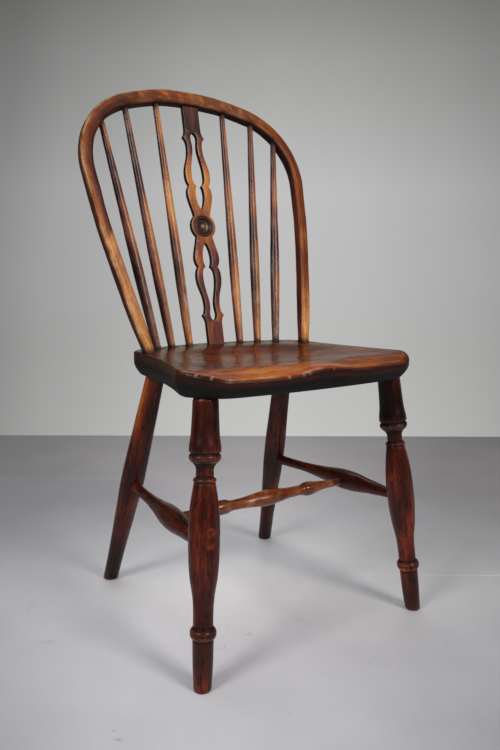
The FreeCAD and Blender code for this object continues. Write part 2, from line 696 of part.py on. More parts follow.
def front_runs(length):
    """Profile of a front leg between the floor and the seat."""
    vase_end = length - VASE_TOP_DROP
    ring = FOOT_RING_HEIGHT
    ring_low = ring - FOOT_RING_HALF
    ring_high = ring + FOOT_RING_HALF
    ring_foot = mix(ANKLE_RADIUS, FOOT_RING_RADIUS, 0.3)
    collar = length - COLLAR_DROP
    neck = length - NECK_DROP
    cushion = length - CUSHION_DROP
    cushion_low = cushion - CUSHION_HALF
    cushion_foot = mix(NECK_RADIUS, CUSHION_RADIUS, 0.37)
    groove = length - GROOVE_DROP
    sleeve = length - SLEEVE_DROP
    chamfer = length - HEAD_CHAMFER
    head = SLEEVE_TOP_RADIUS - HEAD_CHAMFER
    return [
        [(-SPARE, FOOT_RADIUS), (0, FOOT_RADIUS)],
        [(0, FOOT_RADIUS), (ANKLE_HEIGHT * 0.5, mix(FOOT_RADIUS, ANKLE_RADIUS, 0.68)),
         (ANKLE_HEIGHT, ANKLE_RADIUS)],
        [(ANKLE_HEIGHT, ANKLE_RADIUS), (ring_low, ring_foot)],
        [(ring_low, ring_foot), (mix(ring_low, ring, 0.6), mix(ring_foot, FOOT_RING_RADIUS, 0.74)),
         (ring, FOOT_RING_RADIUS),
         (mix(ring, ring_high, 0.5), mix(FOOT_RING_RADIUS, VASE_NECK_RADIUS, 0.23)),
         (ring_high, VASE_NECK_RADIUS)],
        [(ring_high, VASE_NECK_RADIUS), (VASE_NECK_HEIGHT, VASE_NECK_RADIUS),
         (mix(VASE_NECK_HEIGHT, VASE_HEIGHT, 0.27), mix(VASE_NECK_RADIUS, VASE_RADIUS, 0.15)),
         (mix(VASE_NECK_HEIGHT, VASE_HEIGHT, 0.56), mix(VASE_NECK_RADIUS, VASE_RADIUS, 0.68)),
         (VASE_HEIGHT, VASE_RADIUS),
         (mix(VASE_HEIGHT, vase_end, 0.5), mix(VASE_RADIUS, VASE_TOP_RADIUS, 0.14)),
         (mix(VASE_HEIGHT, vase_end, 0.85), mix(VASE_RADIUS, VASE_TOP_RADIUS, 0.64)),
         (vase_end, VASE_TOP_RADIUS)],
        [(vase_end, VASE_TOP_RADIUS), (collar - COLLAR_HALF, COLLAR_FOOT_RADIUS)],
        [(collar - COLLAR_HALF, COLLAR_FOOT_RADIUS), (collar, COLLAR_RADIUS),
         (collar + COLLAR_HALF, mix(NECK_RADIUS, COLLAR_RADIUS, 0.36))],
        [(collar + COLLAR_HALF, mix(NECK_RADIUS, COLLAR_RADIUS, 0.36)),
         (mix(collar, neck, 0.6), mix(NECK_RADIUS, COLLAR_RADIUS, 0.04)), (neck, NECK_RADIUS),
         (mix(neck, cushion_low, 0.58), mix(NECK_RADIUS, cushion_foot, 0.53)),
         (cushion_low, cushion_foot)],
        [(cushion_low, cushion_foot),
         (mix(cushion_low, cushion, 0.5), mix(cushion_foot, CUSHION_RADIUS, 0.7)),
         (cushion, CUSHION_RADIUS), (groove, GROOVE_RADIUS)],
        [(groove, GROOVE_RADIUS), (mix(groove, sleeve, 0.6), mix(GROOVE_RADIUS, SLEEVE_RADIUS, 0.86)),
         (sleeve, SLEEVE_RADIUS), (mix(sleeve, chamfer, 0.17), mix(SLEEVE_RADIUS, SLEEVE_TOP_RADIUS, 0.43)),
         (mix(sleeve, chamfer, 0.75), mix(SLEEVE_RADIUS, SLEEVE_TOP_RADIUS, 0.89)),
         (chamfer, SLEEVE_TOP_RADIUS)],
        [(chamfer, SLEEVE_TOP_RADIUS), (length, head)],
        [(length, head), (length + SPARE / 2, head)],
    ]


def rear_runs(length):
    """Profile of a rear leg: a plain long swelling."""
    foot = REAR_FOOT_RADIUS
    swell = REAR_SWELL_RADIUS
    head = REAR_HEAD_RADIUS
    height = REAR_SWELL_HEIGHT
    return [
        [(-SPARE, foot), (0, foot)],
        [(0, foot), (height * 0.3, mix(foot, swell, 0.17)), (height * 0.65, mix(foot, swell, 0.6)),
         (height, swell), (mix(height, length, 0.5), mix(head, swell, 0.54)), (length, head)],
        [(length, head), (length + SPARE / 2, head)],
    ]


def leg_tenon(line, gap):
    foot, head = line
    length = (head - foot).Length
    return rod(along(foot, head, length - LEG_TENON_LENGTH),
               along(foot, head, length + LEG_TENON_LENGTH + (DEPTH_GAP if gap else 0)),
               LEG_TENON_DIAMETER / 2 + gap)


def leg(line, runs):
    foot, head = line
    body = turning(runs((head - foot).Length), foot, head)
    body = body.common(slab(0, SEAT_UNDER))
    return body.fuse(leg_tenon(line, 0)).removeSplitter()


def on_leg(line, z):
    foot, head = line
    return foot + (head - foot) * (z / SEAT_UNDER)


def side_line():
    """Axis of the right side stretcher, from the rear leg's axis to the front leg's."""
    return on_leg(REAR_LINE, STRETCHER_HEIGHT), on_leg(FRONT_LINE, STRETCHER_HEIGHT)


def side_ends():
    """Places of the two tenon ends along the side stretcher's axis."""
    start, end = side_line()
    rear_in = REAR_SWELL_RADIUS - STRETCHER_TENON
    front_in = VASE_RADIUS - STRETCHER_TENON
    return rear_in, (end - start).Length - front_in


def side_stretcher():
    start, end = side_line()
    low, high = side_ends()
    length = (end - start).Length
    middle = CROSS_SHARE * length
    thin = SIDE_END_RADIUS
    thick = SIDE_SWELL_RADIUS
    rear = REAR_SWELL_RADIUS + SIDE_PLAIN_REAR
    front = length - VASE_RADIUS - SIDE_PLAIN_FRONT
    reach = SIDE_SWELL_REACH
    runs = [
        [(low, thin), (rear, thin)],
        [(rear, thin), (middle - reach, mix(thin, thick, 0.1)),
         (middle - reach * 0.55, mix(thin, thick, 0.5)),
         (middle - reach * 0.2, mix(thin, thick, 0.93)), (middle, thick),
         (middle + reach * 0.25, mix(thin, thick, 0.9)), (middle + reach * 0.6, mix(thin, thick, 0.42)),
         (front, thin)],
        [(front, thin), (high, thin)],
    ]
    return turning(runs, start, end)


def side_sockets():
    """Cutters for the two legs: (rear leg, front leg)."""
    start, end = side_line()
    low, high = side_ends()
    middle = (start + end) / 2
    rear = rod(along(start, end, low - DEPTH_GAP), middle, SIDE_END_RADIUS + FIT)
    front = rod(middle, along(start, end, high + DEPTH_GAP), SIDE_END_RADIUS + FIT)
    return rear, front


def cross_line():
    """Axis of the cross stretcher, from the middle of the chair to the right side stretcher."""
    rear, front = side_line()
    meet = rear + (front - rear) * CROSS_SHARE
    return Vector(0, meet.y, meet.z), meet


def cross_end():
    middle, meet = cross_line()
    return meet.x - SIDE_SWELL_RADIUS + CROSS_TENON


def cross_stretcher():
    middle, meet = cross_line()
    end = cross_end()
    plain = meet.x - SIDE_SWELL_RADIUS - CROSS_PLAIN
    neck = CROSS_NECK_RADIUS
    bulb = CROSS_BULB_RADIUS
    place = CROSS_BULB_PLACE
    half = [
        (0, CROSS_SWELL_RADIUS), (CROSS_NECK_PLACE * 0.4, mix(neck, CROSS_SWELL_RADIUS, 0.62)),
        (CROSS_NECK_PLACE * 0.75, mix(neck, CROSS_SWELL_RADIUS, 0.13)), (CROSS_NECK_PLACE, neck),
        (mix(CROSS_NECK_PLACE, place, 0.48), mix(neck, bulb, 0.15)),
        (mix(CROSS_NECK_PLACE, place, 0.71), mix(neck, bulb, 0.74)), (place, bulb),
        (mix(place, plain, 0.24), mix(CROSS_END_RADIUS, bulb, 0.73)),
        (mix(place, plain, 0.56), mix(CROSS_END_RADIUS, bulb, 0.29)), (plain, CROSS_END_RADIUS),
    ]
    whole = [(-place, radius) for place, radius in reversed(half[1:])] + half
    runs = [
        [(-end, CROSS_END_RADIUS), (-plain, CROSS_END_RADIUS)],
        whole,
        [(plain, CROSS_END_RADIUS), (end, CROSS_END_RADIUS)],
    ]
    return turning(runs, middle, meet)


def cross_socket():
    middle, meet = cross_line()
    return rod(along(middle, meet, meet.x / 2), along(middle, meet, cross_end() + DEPTH_GAP),
               CROSS_END_RADIUS + FIT)


def splat_socket():
    """Block a little larger than the splat's plain ends, for both mortises."""
    half = SPLAT_TAB + FIT
    thick = SPLAT_THICKNESS / 2 + FIT
    low = -SPLAT_SEAT_DEPTH - DEPTH_GAP
    block = Part.makeBox(2 * half, splat_top() + DEPTH_GAP - low, 2 * thick, Vector(-half, low, -thick))
    block.Placement = splat_placement()
    return block


def build_seat():
    seat = seat_blank().cut(saddle_cutter())
    sockets = [leg_tenon(FRONT_LINE, FIT), leg_tenon(REAR_LINE, FIT),
               hoop_tenon(HOOP_TENON_DIAMETER / 2 + FIT, SPARE / 4)]
    sockets += [spindle_seat_socket(i) for i in range(len(SPINDLE_NAMES))]
    for socket in sockets:
        seat = seat.cut(socket).cut(mirrored(socket))
    return seat.cut(splat_socket())


def build_hoop():
    tenon = hoop_tenon(HOOP_TENON_DIAMETER / 2, SPARE / 4).cut(slab(0, SEAT_UNDER))
    hoop = hoop_body().fuse(tenon).fuse(mirrored(tenon)).removeSplitter()
    cutters = [hoop_wedge(FIT)]
    cutters += [spindle_hoop_socket(i) for i in range(len(SPINDLE_NAMES))]
    for cutter in cutters:
        hoop = hoop.cut(cutter).cut(mirrored(cutter))
    return hoop.cut(splat_socket())


def save_pair(shape, name):
    save(shape, name + "_right")
    save(mirrored(shape), name + "_left")


def main():
    os.makedirs("parts", exist_ok=True)
    rear_socket, front_socket = side_sockets()
    save(build_seat(), "seat")
    save(build_hoop(), "hoop")
    save(splat_solid(), "splat")
    save(roundel(), "splat_roundel")
    save_pair(hoop_wedge(0), "hoop_wedge")
    for i, name in enumerate(SPINDLE_NAMES):
        save_pair(spindle(i), "spindle_" + name)
    save_pair(leg(FRONT_LINE, front_runs).cut(front_socket), "leg_front")
    save_pair(leg(REAR_LINE, rear_runs).cut(rear_socket), "leg_rear")
    save_pair(side_stretcher().cut(cross_socket()), "stretcher_side")
    save(cross_stretcher(), "stretcher_cross")


main()
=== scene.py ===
import math

import bpy
import numpy as np
from mathutils import Matrix, Vector


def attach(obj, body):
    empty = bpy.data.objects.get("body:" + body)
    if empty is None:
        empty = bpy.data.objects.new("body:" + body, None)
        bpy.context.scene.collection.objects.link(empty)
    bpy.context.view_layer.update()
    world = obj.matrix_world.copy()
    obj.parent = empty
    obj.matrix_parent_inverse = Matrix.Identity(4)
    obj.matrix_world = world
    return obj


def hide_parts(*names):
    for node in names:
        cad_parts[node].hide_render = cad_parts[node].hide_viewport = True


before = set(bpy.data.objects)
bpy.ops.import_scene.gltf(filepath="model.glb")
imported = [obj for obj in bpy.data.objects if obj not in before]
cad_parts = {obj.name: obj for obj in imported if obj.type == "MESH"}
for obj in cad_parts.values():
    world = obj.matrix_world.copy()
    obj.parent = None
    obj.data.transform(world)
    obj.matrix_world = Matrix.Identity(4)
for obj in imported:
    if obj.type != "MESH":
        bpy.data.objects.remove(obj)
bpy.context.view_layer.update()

# The looks of a wheelback side chair: saddled elm seat, bent beech hoop, turned beech sticks.
# Shapes are worked out in millimetres in the frame's axes and turned to metres when a mesh is made.

MM = 0.001
ROW = 1.2            # distance between the rows of a turning
SIDES = 80           # points round a turning
OVAL = 0.006         # share by which a turning has shrunk across its rings
BOW = 0.5            # how far a turning bends between its ends

# Seat
SEAT_TOP = 440.0
SEAT_UNDER = 400.0
SEAT_FRONT = (0.0, -210.0)
SEAT_FRONT_END = (166.0, -201.0)
SEAT_WIDE = (216.0, -148.0)
SEAT_WAIST = (187.0, -36.0)
SEAT_REAR = (176.0, 64.0)
SEAT_BACK_END = (146.0, 104.0)
SEAT_BACK = (0.0, 131.0)
CORNER_SOFT = 7.5
REAR_SOFT = 9.0
UNDER_INSET = 11.0
BEVEL_HEIGHT = 22.0
UNDER_ROUND = 4.0
EDGE_ROUND = 4.5
FRONT_ROUND = 8.5
DISH_DEPTH = 11.0
DISH_CENTRE = -46.0
DISH_HALF = (188.0, 128.0)
DISH_FLOOR = 0.30
POMMEL_HALF = 45.0
POMMEL_LIFT = 3.0
POMMEL_DROP = 5.5
CREST = -150.0
CREST_DROP = 3.5
THIGH_X = 155.0
THIGH_FADE = 80.0
THIGH_DROP = 16.5
SADDLE_LIFT = 0.7
SEAT_MIDDLE = (0.0, -45.0)

# Hoop
LEAN = math.radians(18.7)
HOOP_FOOT = (159.0, 51.0)
HOOP_RISE = 463.0
HOOP_WIDE = 215.5
SHOULDER_RADIUS = 125.0
CROWN_RADIUS = 430.0
LIMB_RADIUS = 2400.0
LIMB_SECTION = (20.5, 22.0)
CROWN_SECTION = (27.0, 20.5)
HOOP_FOOT_DIAMETER = 20.5
HOOP_TAPER = 60.0
HOOP_CORNER = 5.5
HOOP_EVEN_SHARE = 0.35
HOOP_STEP = 3.5
LEFT_WORN_AND_LIT_TO = 190.0      # the left limb's face is rubbed golden, with a painted highlight, from its foot to here
LIMB_WANDER = 1.5         # outward moves of the centre line, on both limbs,
SHOULDER_WANDER = 1.8     # on the left shoulder
CROWN_WANDER = -0.25      # and at the crown

# Spindles, from the inner to the outer one on the right
SPINDLES = ("inner", "middle", "outer")
SPINDLE_SEAT = ((53.4, 107.7), (90.6, 104.0), (124.3, 92.0))
SPINDLE_HOOP_X = (69.5, 131.0, 179.5)
SPINDLE_RADII = (6.7, 8.9, 5.4)
SPINDLE_BELLY = 135.0
SPINDLE_PLAIN_TOP = 40.0

# Splat and roundel
SPLAT_SEAT_Y = 105.6
SPLAT_LENGTH = 430.0
SPLAT_THICKNESS = 9.0
SPLAT_BEVEL = 0.9
LARGEST_SMOOTH_FACE = 40.0
ROUNDEL_SIDES = 96
ROUNDEL_ROWS = 150
ROUNDEL_RINGS = (         # depth below the face, radius
    (9.0, 0.02), (9.0, 18.9), (8.4, 19.5), (0.5, 19.5), (0.0, 19.0), (0.0, 18.2), (0.9, 17.7), (0.2, 17.1),
    (0.1, 16.2), (0.8, 15.4), (0.3, 14.8), (1.6, 14.1), (2.8, 13.0), (3.2, 12.1), (2.3, 11.0), (3.1, 10.0),
    (3.5, 8.2), (3.8, 6.4), (3.8, 4.3), (2.4, 3.9), (1.3, 2.9), (0.8, 1.5), (0.7, 0.02))
ROUNDEL_TONES = (         # radii, and the tone at each
    (0.0, 4.0, 4.6, 7.0, 9.0, 11.0, 12.2, 14.0, 15.0, 16.5, 17.6, 18.6),
    (0.40, 0.30, -0.45, -0.35, -0.10, 0.12, -0.30, -0.30, 0.12, -0.10, -0.35, 0.15))

# Legs and stretchers
FRONT_FOOT = (207.6, -198.7)
FRONT_HEAD = (174.3, -156.0)
REAR_FOOT = (177.0, 198.8)
REAR_HEAD = (134.2, 78.2)
STRETCHER_HEIGHT = 196.0
CROSS_SHARE = 0.62
SIDE_BELLY = 17.8
JOINT_DEPTH = 6.0     # how far a turning reaches into the piece that holds it

# Camera
CAMERA_PLACE = (-634.7, -946.2, 568.9)
CAMERA_AZIMUTH = math.radians(-34.01)
CAMERA_DROP = math.radians(8.63)
CAMERA_ROLL = math.radians(0.18)
CAMERA_LENS = 32.56
CAMERA_SENSOR = 36.0
WALL_DISTANCE = 2322.0     # from the camera to the line where the floor ends
CAMERA_RIGHT = np.array([math.cos(CAMERA_AZIMUTH), math.sin(CAMERA_AZIMUTH), 0.0])
CAMERA_BACK = np.array([math.sin(CAMERA_AZIMUTH), -math.cos(CAMERA_AZIMUTH), 0.0])


# Small helpers

def mix(a, b, share):
    return a + (b - a) * share


def ease(value):
    held = np.clip(value, 0.0, 1.0)
    return held * held * (3 - 2 * held)


def bell(value, width):
    return np.exp(-(value / width) ** 2)


def unit(vector):
    vector = np.asarray(vector, float)
    return vector / np.linalg.norm(vector)


def ripple(seed, wave, *places):
    """Wandering value of about -1 to 1 that turns over in about wave mm."""
    chance = np.random.default_rng(seed)
    total = 0.0
    for _ in range(8):
        way = unit(chance.normal(size=len(places)))
        length = wave * chance.uniform(0.6, 1.8)
        phase = chance.uniform(0, 2 * math.pi)
        total = total + np.sin(2 * math.pi * sum(w * p for w, p in zip(way, places)) / length + phase)
    return total / 3.4


def smoothed(values, reach):
    kernel = np.hanning(2 * reach + 3)
    padded = np.pad(values, reach + 1, mode="edge")
    return np.convolve(padded, kernel / kernel.sum(), mode="valid")


def curve(points):
    """Smooth rows of (place, radius) through the points given; two points give a straight run."""
    places = np.array([p[0] for p in points], float)
    radii = np.array([p[1] for p in points], float)
    rows = np.linspace(places[0], places[-1], max(2, round((places[-1] - places[0]) / ROW) + 1))
    if len(points) == 2:
        return np.column_stack([rows, np.interp(rows, places, radii)])
    slopes = np.gradient(radii, places)
    i = np.clip(np.searchsorted(places, rows) - 1, 0, len(places) - 2)
    gap = places[i + 1] - places[i]
    u = (rows - places[i]) / gap
    values = (radii[i] * (1 + 2 * u) * (1 - u) ** 2 + slopes[i] * gap * u * (1 - u) ** 2
              + radii[i + 1] * u * u * (3 - 2 * u) + slopes[i + 1] * gap * u * u * (u - 1))
    return np.column_stack([rows, values])


def profile(runs):
    """Rows of a turning. Each run after the first starts at the last point of the one before."""
    rows = [curve(runs[0])]
    for before, run in zip(runs, runs[1:]):
        rows.append(curve([before[-1]] + run)[1:])
    return np.vstack(rows)


def ring_faces(count, around, capped=False):
    """Quads between count rings of around points each, and a face on each end where capped."""
    i, j = np.meshgrid(np.arange(count - 1), np.arange(around), indexing="ij")
    a = i * around + j
    b = i * around + (j + 1) % around
    faces = np.stack([a, b, b + around, a + around], axis=-1).reshape(-1, 4).tolist()
    if capped:
        faces.append(list(range(around))[::-1])
        faces.append(list(range((count - 1) * around, count * around)))
    return faces


def new_object(name, data):
    made = bpy.data.objects.new(name, data)
    bpy.context.scene.collection.objects.link(made)
    return made


def add_marks(mesh, domain, marks):
    """Values per point or face, for the mesh's material."""
    for mark, values in marks.items():
        values = np.asarray(values, np.float32)
        kind, key = ("FLOAT_VECTOR", "vector") if values.ndim == 2 else ("FLOAT", "value")
        mesh.attributes.new(mark, kind, domain).data.foreach_set(key, values.ravel())


def make_piece(name, points, faces, marks, nodes, material):
    """Mesh object from points in mm. Marks are the grain, the wear with painted highlights, the grime with
    painted shade, and the tone of each point, which holds painted light and shade in places.
    """
    grain, wear_and_highlight, grime_and_shade, tone = marks
    mesh = bpy.data.meshes.new(name)
    mesh.from_pydata((points.reshape(-1, 3) * MM).tolist(), [], faces)
    mesh.validate()
    add_marks(mesh, "POINT", {"grain": grain.reshape(-1, 3), "wear_and_highlight": np.clip(wear_and_highlight, 0, 1).ravel(),
                              "grime_and_shade": np.clip(grime_and_shade, 0, 1).ravel(), "tone": tone.ravel()})
    mesh.polygons.foreach_set("use_smooth", [True] * len(mesh.polygons))
    mesh.update()
    mesh.materials.append(material)
    made = new_object(name, mesh)
    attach(made, "root")
    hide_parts(*nodes)
    return made


def sided(name, side):
    return name + ("_right" if side > 0 else "_left")


# Turnings

class Turning:
    """Rows of points round the line from start to end, with places for the marks."""

    def __init__(self, rows, start, end, seed, uneven=0.12, level=False):
        start = np.asarray(start, float)
        axis = unit(np.asarray(end, float) - start)
        side = unit(np.cross(axis, (0.0, 1.0, 0.0) if abs(axis[1]) < 0.8 else (1.0, 0.0, 0.0)))
        third = np.cross(axis, side)
        angles = np.linspace(0, 2 * math.pi, SIDES, endpoint=False)
        self.t, self.angle = np.meshgrid(rows[:, 0], angles, indexing="ij")
        relief = rows[:, 1] - smoothed(rows[:, 1], 5)
        plain, relief = (np.repeat(values[:, None], SIDES, axis=1) for values in (rows[:, 1], relief))
        x = np.cos(self.angle)
        y = np.sin(self.angle)
        dents = ripple(seed, 16, plain * x, plain * y, self.t * 0.4)
        self.r = plain * (1 + OVAL * (np.cos(2 * self.angle + seed) - 1)) + uneven * (dents - 0.6)
        self.out = side * x[..., None] + third * y[..., None]
        if level:
            slip = -(self.r * self.out[..., 2]) / axis[2]
            self.t = self.t + slip * (1 - ease(self.t / 24.0))
        run = self.t - rows[0, 0]
        bow = BOW * np.sin(math.pi * run / (rows[-1, 0] - rows[0, 0])) ** 2 * ease((run - 24) / 60)
        bend = (side * math.cos(seed) + third * math.sin(seed)) * bow[..., None]
        self.points = start + axis * self.t[..., None] + self.out * self.r[..., None] + bend
        chance = np.random.default_rng(seed)
        self.pith = (chance.uniform(25, 60), chance.uniform(-40, 40), chance.uniform(0, 4000))
        self.wear_and_highlight = np.clip(relief / 0.5, 0, 1)
        self.grime_and_shade = np.clip(-relief / 0.45, 0, 1)
        self.tone = np.zeros_like(self.t)

    def angle_from(self, way):
        """How far round the turning each point lies from a direction, in radians."""
        return np.arccos(np.clip(self.out @ unit(way), -1, 1))

    def near(self, place, reach):
        """One at a place in the frame, falling to nothing at reach."""
        return bell(np.linalg.norm(self.points - place, axis=-1), reach)

    def made(self, name, nodes, slot, material):
        grain = np.stack([self.r * np.cos(self.angle) + self.pith[0],
                          self.r * np.sin(self.angle) + self.pith[1], self.t + self.pith[2]], axis=-1)
        marks = (grain, self.wear_and_highlight, self.grime_and_shade, self.tone)
        faces = ring_faces(len(self.t), SIDES, capped=True)
        return make_piece(name, self.points, faces, marks, nodes, material)


# Materials

def hex_colour(code):
    """Linear colour of an sRGB hex value."""
    shares = [int(code[i:i + 2], 16) / 255 for i in (1, 3, 5)]
    linear = [s / 12.92 if s <= 0.04045 else ((s + 0.055) / 1.055) ** 2.4 for s in shares]
    return (*linear, 1.0)


def empty_tree(owner):
    """Node tree of a material or world, without its first nodes."""
    owner.use_nodes = True
    owner.node_tree.nodes.clear()
    return owner.node_tree


def add(tree, kind, inputs, **settings):
    """Adds a shader node with its settings; an input is a value, a hex colour or a linked output."""
    made = tree.nodes.new("ShaderNode" + kind)
    for name, value in settings.items():
        setattr(made, name, value)
    for name, value in inputs.items():
        if isinstance(value, bpy.types.NodeSocket):
            tree.links.new(value, made.inputs[name])
        else:
            made.inputs[name].default_value = hex_colour(value) if isinstance(value, str) else value
    return made


def maths(tree, operation, *values, **settings):
    return add(tree, "Math", dict(enumerate(values)), operation=operation, **settings).outputs[0]


def spread(tree, value, low, high, to_low=0.0, to_high=1.0, **settings):
    """Maps the run from low to high onto the one from to_low to to_high."""
    return add(tree, "MapRange", {"Value": value, "From Min": low, "From Max": high, "To Min": to_low,
                                  "To Max": to_high}, **settings).outputs[0]


def blend(tree, share, under, over, how="MIX"):
    return add(tree, "Mix", {0: share, 6: under, 7: over}, data_type="RGBA", blend_type=how).outputs[2]


def noise(tree, place, scale, detail, **more):
    return add(tree, "TexNoise", {"Vector": place, "Scale": scale, "Detail": detail} | more).outputs["Fac"]


def along(tree, place, way):
    """How far a place lies along a direction."""
    return add(tree, "VectorMath", {0: place, 1: tuple(way)}, operation="DOT_PRODUCT").outputs["Value"]


def ramp(tree, value, stops):
    """Colours over a value. A stop is its place and a hex colour or a share of white."""
    made = add(tree, "ValToRGB", {"Fac": value})
    elements = made.color_ramp.elements
    while len(elements) < len(stops):
        elements.new(0.5)
    for element, (place, colour) in zip(elements, stops):
        element.position = place
        element.color = hex_colour(colour) if isinstance(colour, str) else (colour, colour, colour, 1.0)
    return made.outputs[0]


WAVE_RINGS_PER_UNIT = 20 / (2 * math.pi)     # rings that the wave texture draws in one unit at scale one
RING_STRETCH = 0.04                          # how fast growth rings change along the grain
# Colour of dirt and old polish; the grime mark also paints shade with it
DIRT_AND_SHADE = "#0b0504"

# Patterns common to all the woods: width across the grain and length along it in mm, and detail
PATTERNS = {
    "blotch": (34.0, 80.0, 2.0),      # uneven stain
    "streak": (6.0, 130.0, 2.0),      # long bands of harder and softer wood
    "fibre": (1.3, 34.0, 3.0),        # fibres, drawn coarser than the real 0.1 mm so that they show
    "pore": (0.9, 7.0, 1.0),          # open pores, drawn coarser than the real 0.2 mm
    "rub": (9.0, 18.0, 3.0),          # where hands and cloths have rubbed the polish
    "scar": (5.5, 16.0, 4.0),         # knocks and burrs filled with old polish
    "hollow": (13.0, 40.0, 1.0),      # shallow hollows left by the scraper
}


def wood(name, stops, wear_and_highlight_colour, pore, ring_mm, pore_share, scar_share, gloss, shine, coat, hollow_mm,
         **amounts):
    """Stained wood under an old hand-rubbed polish. Stops run from the darkest to the lightest.

    Amounts say how strongly each pattern shows.
    """
    material = bpy.data.materials.new(name)
    tree = empty_tree(material)
    grain, wear_and_highlight, grime_and_shade, level = (
        add(tree, "Attribute", {}, attribute_name=mark).outputs["Vector" if mark == "grain" else "Fac"]
        for mark in ("grain", "wear_and_highlight", "grime_and_shade", "tone"))

    def stretched(across, lengthwise):
        return add(tree, "VectorMath", {0: grain, 1: (across, across, lengthwise)},
                   operation="MULTIPLY").outputs[0]

    found = {pattern: noise(tree, stretched(1 / width, 1 / length), 1.0, detail)
             for pattern, (width, length, detail) in PATTERNS.items()}
    ring_scale = 1 / (WAVE_RINGS_PER_UNIT * ring_mm)
    found["ring"] = add(tree, "TexWave", {"Vector": stretched(1.0, RING_STRETCH), "Scale": ring_scale,
                                          "Distortion": 5.0, "Detail": 2.0, "Detail Scale": 0.9},
                        wave_type="RINGS", rings_direction="Z", wave_profile="SAW").outputs["Fac"]
    for pattern, amount in amounts.items():
        level = maths(tree, "MULTIPLY_ADD", found[pattern], amount, level)
    level = maths(tree, "ADD", level, 0.5 - sum(amounts.values()) / 2)

    # The wear mark lightens towards the worn colour, which also paints highlights; the grime mark darkens
    # towards the dirt colour, which also paints shade
    lightened = maths(tree, "MULTIPLY", wear_and_highlight, spread(tree, found["rub"], 0.28, 0.66), use_clamp=True)
    open_pore = spread(tree, found["pore"], 0.58, 0.70, to_high=pore_share)
    scarred = spread(tree, found["scar"], 0.56, 0.66, to_high=scar_share)
    dark = maths(tree, "MAXIMUM", open_pore, scarred)
    colour = blend(tree, lightened, ramp(tree, level, stops), wear_and_highlight_colour)
    colour = blend(tree, dark, colour, pore)
    colour = blend(tree, maths(tree, "MULTIPLY", grime_and_shade, 0.92), colour, DIRT_AND_SHADE)

    rough = maths(tree, "MULTIPLY_ADD", found["rub"], 0.22, gloss - 0.11)
    rough = maths(tree, "MULTIPLY_ADD", dark, 0.2, rough)
    rough = maths(tree, "MULTIPLY_ADD", grime_and_shade, 0.50, rough)
    broad = add(tree, "Bump", {"Height": found["hollow"], "Distance": hollow_mm * MM,
                               "Strength": 0.8}).outputs[0]
    pits = maths(tree, "MULTIPLY_ADD", dark, -0.6, found["fibre"])
    fine = add(tree, "Bump", {"Height": pits, "Distance": 0.10 * MM, "Strength": 0.6,
                              "Normal": broad}).outputs[0]
    surface = add(tree, "BsdfPrincipled",
                  {"Base Color": colour, "Roughness": rough, "IOR": 1.5, "Specular IOR Level": shine,
                   "Coat Weight": coat, "Coat Roughness": 0.15, "Normal": fine, "Coat Normal": broad})
    add(tree, "OutputMaterial", {"Surface": surface.outputs[0]})
    return material


def polished_elm():
    """Elm board, stained red-brown and waxed for a century: open pores, rubbed orange slopes, dark edges."""
    stops = [(0.05, "#120503"), (0.36, "#3a1107"), (0.54, "#6a290a"), (0.76, "#a0500e"), (1.0, "#c47a20")]
    return wood("polished_elm", stops, wear_and_highlight_colour="#d0a892", pore="#1a0904", ring_mm=5.5,
                blotch=0.60, streak=0.45, fibre=0.45, ring=0.10,
                pore_share=0.60, scar_share=0.25, gloss=0.24, shine=0.25, coat=0.05, hollow_mm=0.30)


def bent_beech():
    """Steam-bent beech hoop, its stain rubbed through to golden brown on the faces that hands reach; the
    golden lower limbs also carry a painted highlight and the inner and outer faces painted shade.
    """
    stops = [(0.0, "#1d0a06"), (0.30, "#43190c"), (0.52, "#703213"), (0.76, "#a86020"), (1.0, "#ce8a38")]
    return wood("bent_beech", stops, wear_and_highlight_colour="#d3a06a", pore="#2b1208", ring_mm=3.2,
                blotch=0.60, streak=0.30, fibre=0.50, ring=0.08,
                pore_share=0.50, scar_share=0.30, gloss=0.40, shine=0.24, coat=0.06, hollow_mm=0.35)


def spindle_beech():
    """Turned beech sticks: purple-brown stain with long golden streaks; their golden right-hand sides are
    painted light.
    """
    stops = [(0.0, "#1a0c12"), (0.28, "#3a1a19"), (0.50, "#6b3629"), (0.70, "#a05c28"), (1.0, "#d09150")]
    return wood("spindle_beech", stops, wear_and_highlight_colour="#cda084", pore="#22100d", ring_mm=3.0,
                blotch=0.65, streak=0.65, fibre=0.40, ring=0.06,
                pore_share=0.40, scar_share=0.40, gloss=0.36, shine=0.36, coat=0.12, hollow_mm=0.3)


def splat_beech():
    """Sawn beech splat, warm on its polished face and nearly black on its sawn edges, which take the stain
    dark and are also darkened as painted shade.
    """
    stops = [(0.0, "#140709"), (0.30, "#3c1815"), (0.50, "#6a3226"), (0.72, "#a35a1f"), (1.0, "#c98334")]
    return wood("splat_beech", stops, wear_and_highlight_colour="#b07844", pore="#260f09", ring_mm=4.0,
                blotch=0.45, streak=0.40, fibre=0.40, ring=0.08,
                pore_share=0.35, scar_share=0.25, gloss=0.38, shine=0.30, coat=0.12, hollow_mm=0.2)


def roundel_beech():
    """Turned roundel with dark polish left in its rings and a rubbed boss."""
    stops = [(0.0, "#0f0605"), (0.35, "#2c1410"), (0.60, "#63301c"), (0.85, "#a06a40"), (1.0, "#c8955f")]
    return wood("roundel_beech", stops, wear_and_highlight_colour="#c79a70", pore="#1c100c", ring_mm=3.0,
                blotch=0.12, streak=0.12, fibre=0.15,
                pore_share=0.20, scar_share=0.0, gloss=0.36, shine=0.36, coat=0.12, hollow_mm=0.02)


